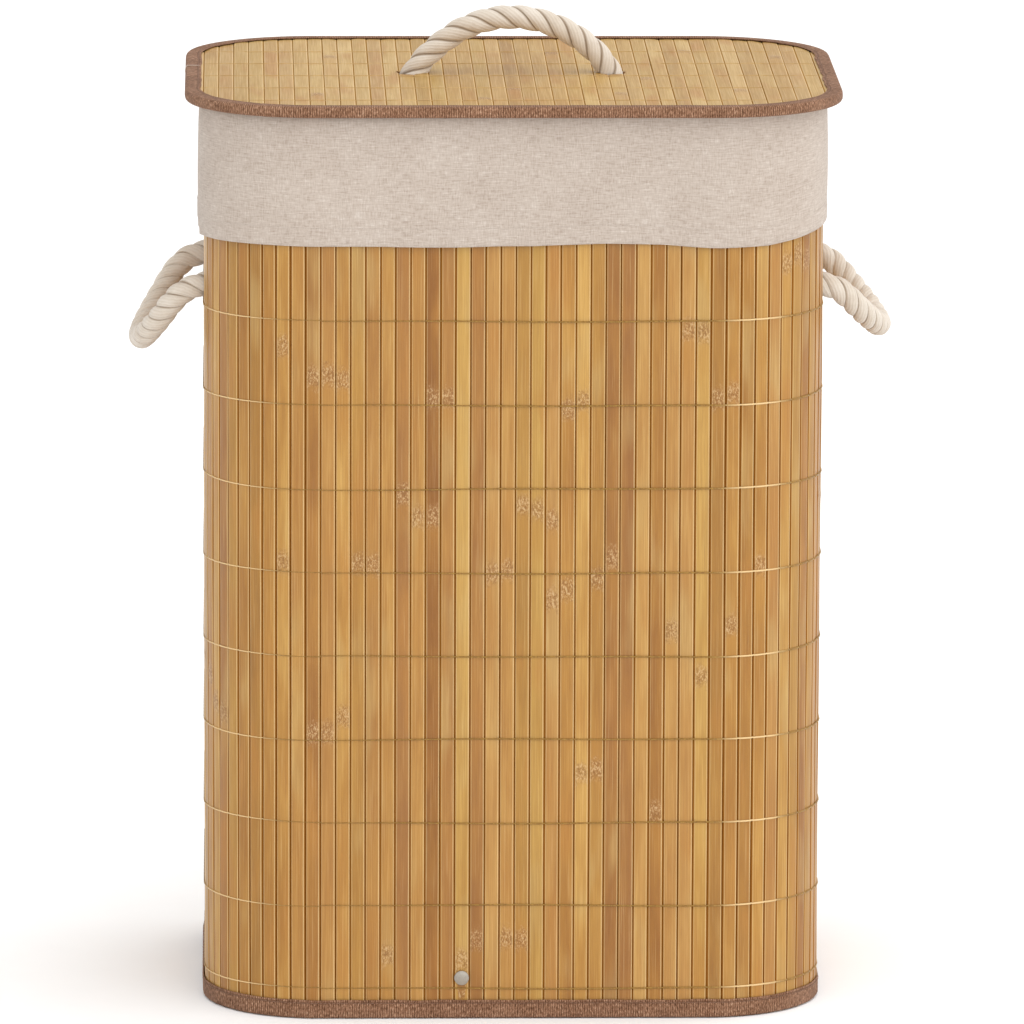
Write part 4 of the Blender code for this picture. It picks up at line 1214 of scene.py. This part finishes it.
def make_tab(end_name, end):
    """A webbing strap from the base's edge up the wall, with a row of stitches each side."""
    wall = DEPTH / 2 - 0.0049
    outer = [(wall - 0.0260, 0.0074), (wall - 0.0012, 0.0074), (wall, 0.0088), (wall, 0.0340)]
    outer = divided(outer, 0.002)
    direction = unit(np.gradient(outer, axis=0))
    inner = outer + np.stack([-direction[:, 1], direction[:, 0]], 1) * 0.0007
    section = np.vstack([outer, inner[::-1]])
    across = np.linspace(-0.0148, 0.0148, 13)
    points = np.array([[(end * RIVET_X + x, end * y, z) for y, z in section] for x in across])
    rows, columns = points.shape[:2]
    along = np.append(distances(section), 0.14)
    uvs = list(grid_uvs(rows, columns, across, along)[:, ::-1]) + [(0.0, 0.0)] * (2 * columns)
    item = add_mesh(f"tab_{end_name}", points.reshape(-1, 3), capped_faces(rows, columns), "tape",
                    "basket", "binding_tape", [f"base_tab_{end_name}"], uvs=uvs, sharp=60)
    stitch = ((0.0, 0.0), (0.0002, 0.0009), (0.0, 0.0018))
    lines = [[(end * RIVET_X + x, end * (wall - 0.0007 - out), 0.0110 + 0.0025 * step + up)
              for out, up in stitch] for x in (-0.0122, 0.0122) for step in range(9)]
    small_tubes(f"tab_stitches_{end_name}", lines, 0.00022, "stitch", body="basket", slot="binding_tape")


def turned(name, profile, sides, centre, axis, look, **more):
    """A body of revolution from (radius, height) pairs along an axis."""
    place = Matrix.Translation(centre) @ UP.rotation_difference(Vector(axis)).to_matrix().to_4x4()
    angles = [2 * math.pi * k / sides for k in range(sides)]
    points = [place @ Vector((radius * math.cos(a), radius * math.sin(a), height))
              for radius, height in profile for a in angles]
    return add_mesh(name, points, capped_faces(len(profile), sides), look, **more)


def make_rivet(end_name, end):
    """A low dome with a rolled edge and a faint ring, its shank, and a washer inside."""
    seat = 0.0006
    dome = ((0.0002, 0.00150), (0.0012, 0.00146), (0.0024, 0.00132), (0.0034, 0.00108), (0.0039, 0.00090),
            (0.00415, 0.00082), (0.0044, 0.00082), (0.00468, 0.00068), (0.0048, 0.0004), (0.00472, 0.0001),
            (0.0044, 0), (0.0020, 0))
    profile = [(radius, seat + height) for radius, height in dome]
    profile += [(0.0020, -0.0071), (0.0032, -0.0071), (0.0033, -0.0074), (0.0030, -0.0079), (0.0018, -0.0082),
                (0.0002, -0.0083)]
    turned(f"rivet_cap_{end_name}", profile, 48, (end * RIVET_X, end * DEPTH / 2, RIVET_Z), (0, end, 0),
           "rivet", body="basket", slot="steel", replaces=[f"rivet_{end_name}"], sharp=60)


def make_backing():
    """The cloth behind the slats, its grain showing in the gaps."""
    ring = Ring(WIDTH, DEPTH, CORNER, spacing=0.006)
    section = np.vstack([divided([(-0.0029, SLAT_BOTTOM), (-0.0029, SLAT_TOP)], 0.03),
                         divided([(-0.0034, SLAT_TOP), (-0.0034, SLAT_BOTTOM)], 0.03)])
    profile = np.repeat(section[None], ring.count, 0)
    item = band("slat_backing", ring, profile, "backing", body="basket", slot="backing_cloth",
                replaces=["wall_backing"])
    drill(item, side_holes(0.0088))


def make_lid_under():
    ring = Ring(LID_WIDTH - 0.003, LID_DEPTH - 0.003, LID_CORNER - 0.0015, spacing=0.006)
    item = fan_sheet("lid_under_cloth", ring, 0.5912, 0.0005, "lining", body="lid", slot="backing_cloth",
                     replaces=["lid_lining"])
    drill(item, lid_holes(0.5914, 0.0082))


# ---------------------------------------------------------------- build

set_camera()
for side_name, side in SIDES:
    make_side_rope(side_name, side)
make_lid_rope()
make_wall_slats()
make_lid_slats()
make_threads()
make_backing()
make_tapes()
make_cuff()
make_liner()
make_base()
make_lid_under()

for node, look in (("rim_hoop", "wire"), ("base_board", "hardboard"), ("lid_board", "hardboard"),
                   ("rivet_front_washer", "wire"), ("rivet_back_washer", "wire")):
    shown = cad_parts[node]
    if not shown.material_slots:
        shown.data.materials.append(LOOKS[look])
    shown.material_slots[0].material = LOOKS[look]

floor = linked("floor", bpy.data.meshes.new("floor"))
floor.data.from_pydata([(-30, -30, 0), (30, -30, 0), (30, 30, 0), (-30, 30, 0)], [], [(0, 1, 2, 3)])
floor.data.materials.append(floor_paint("floor"))
floor.location.z = -0.0005
set_light()
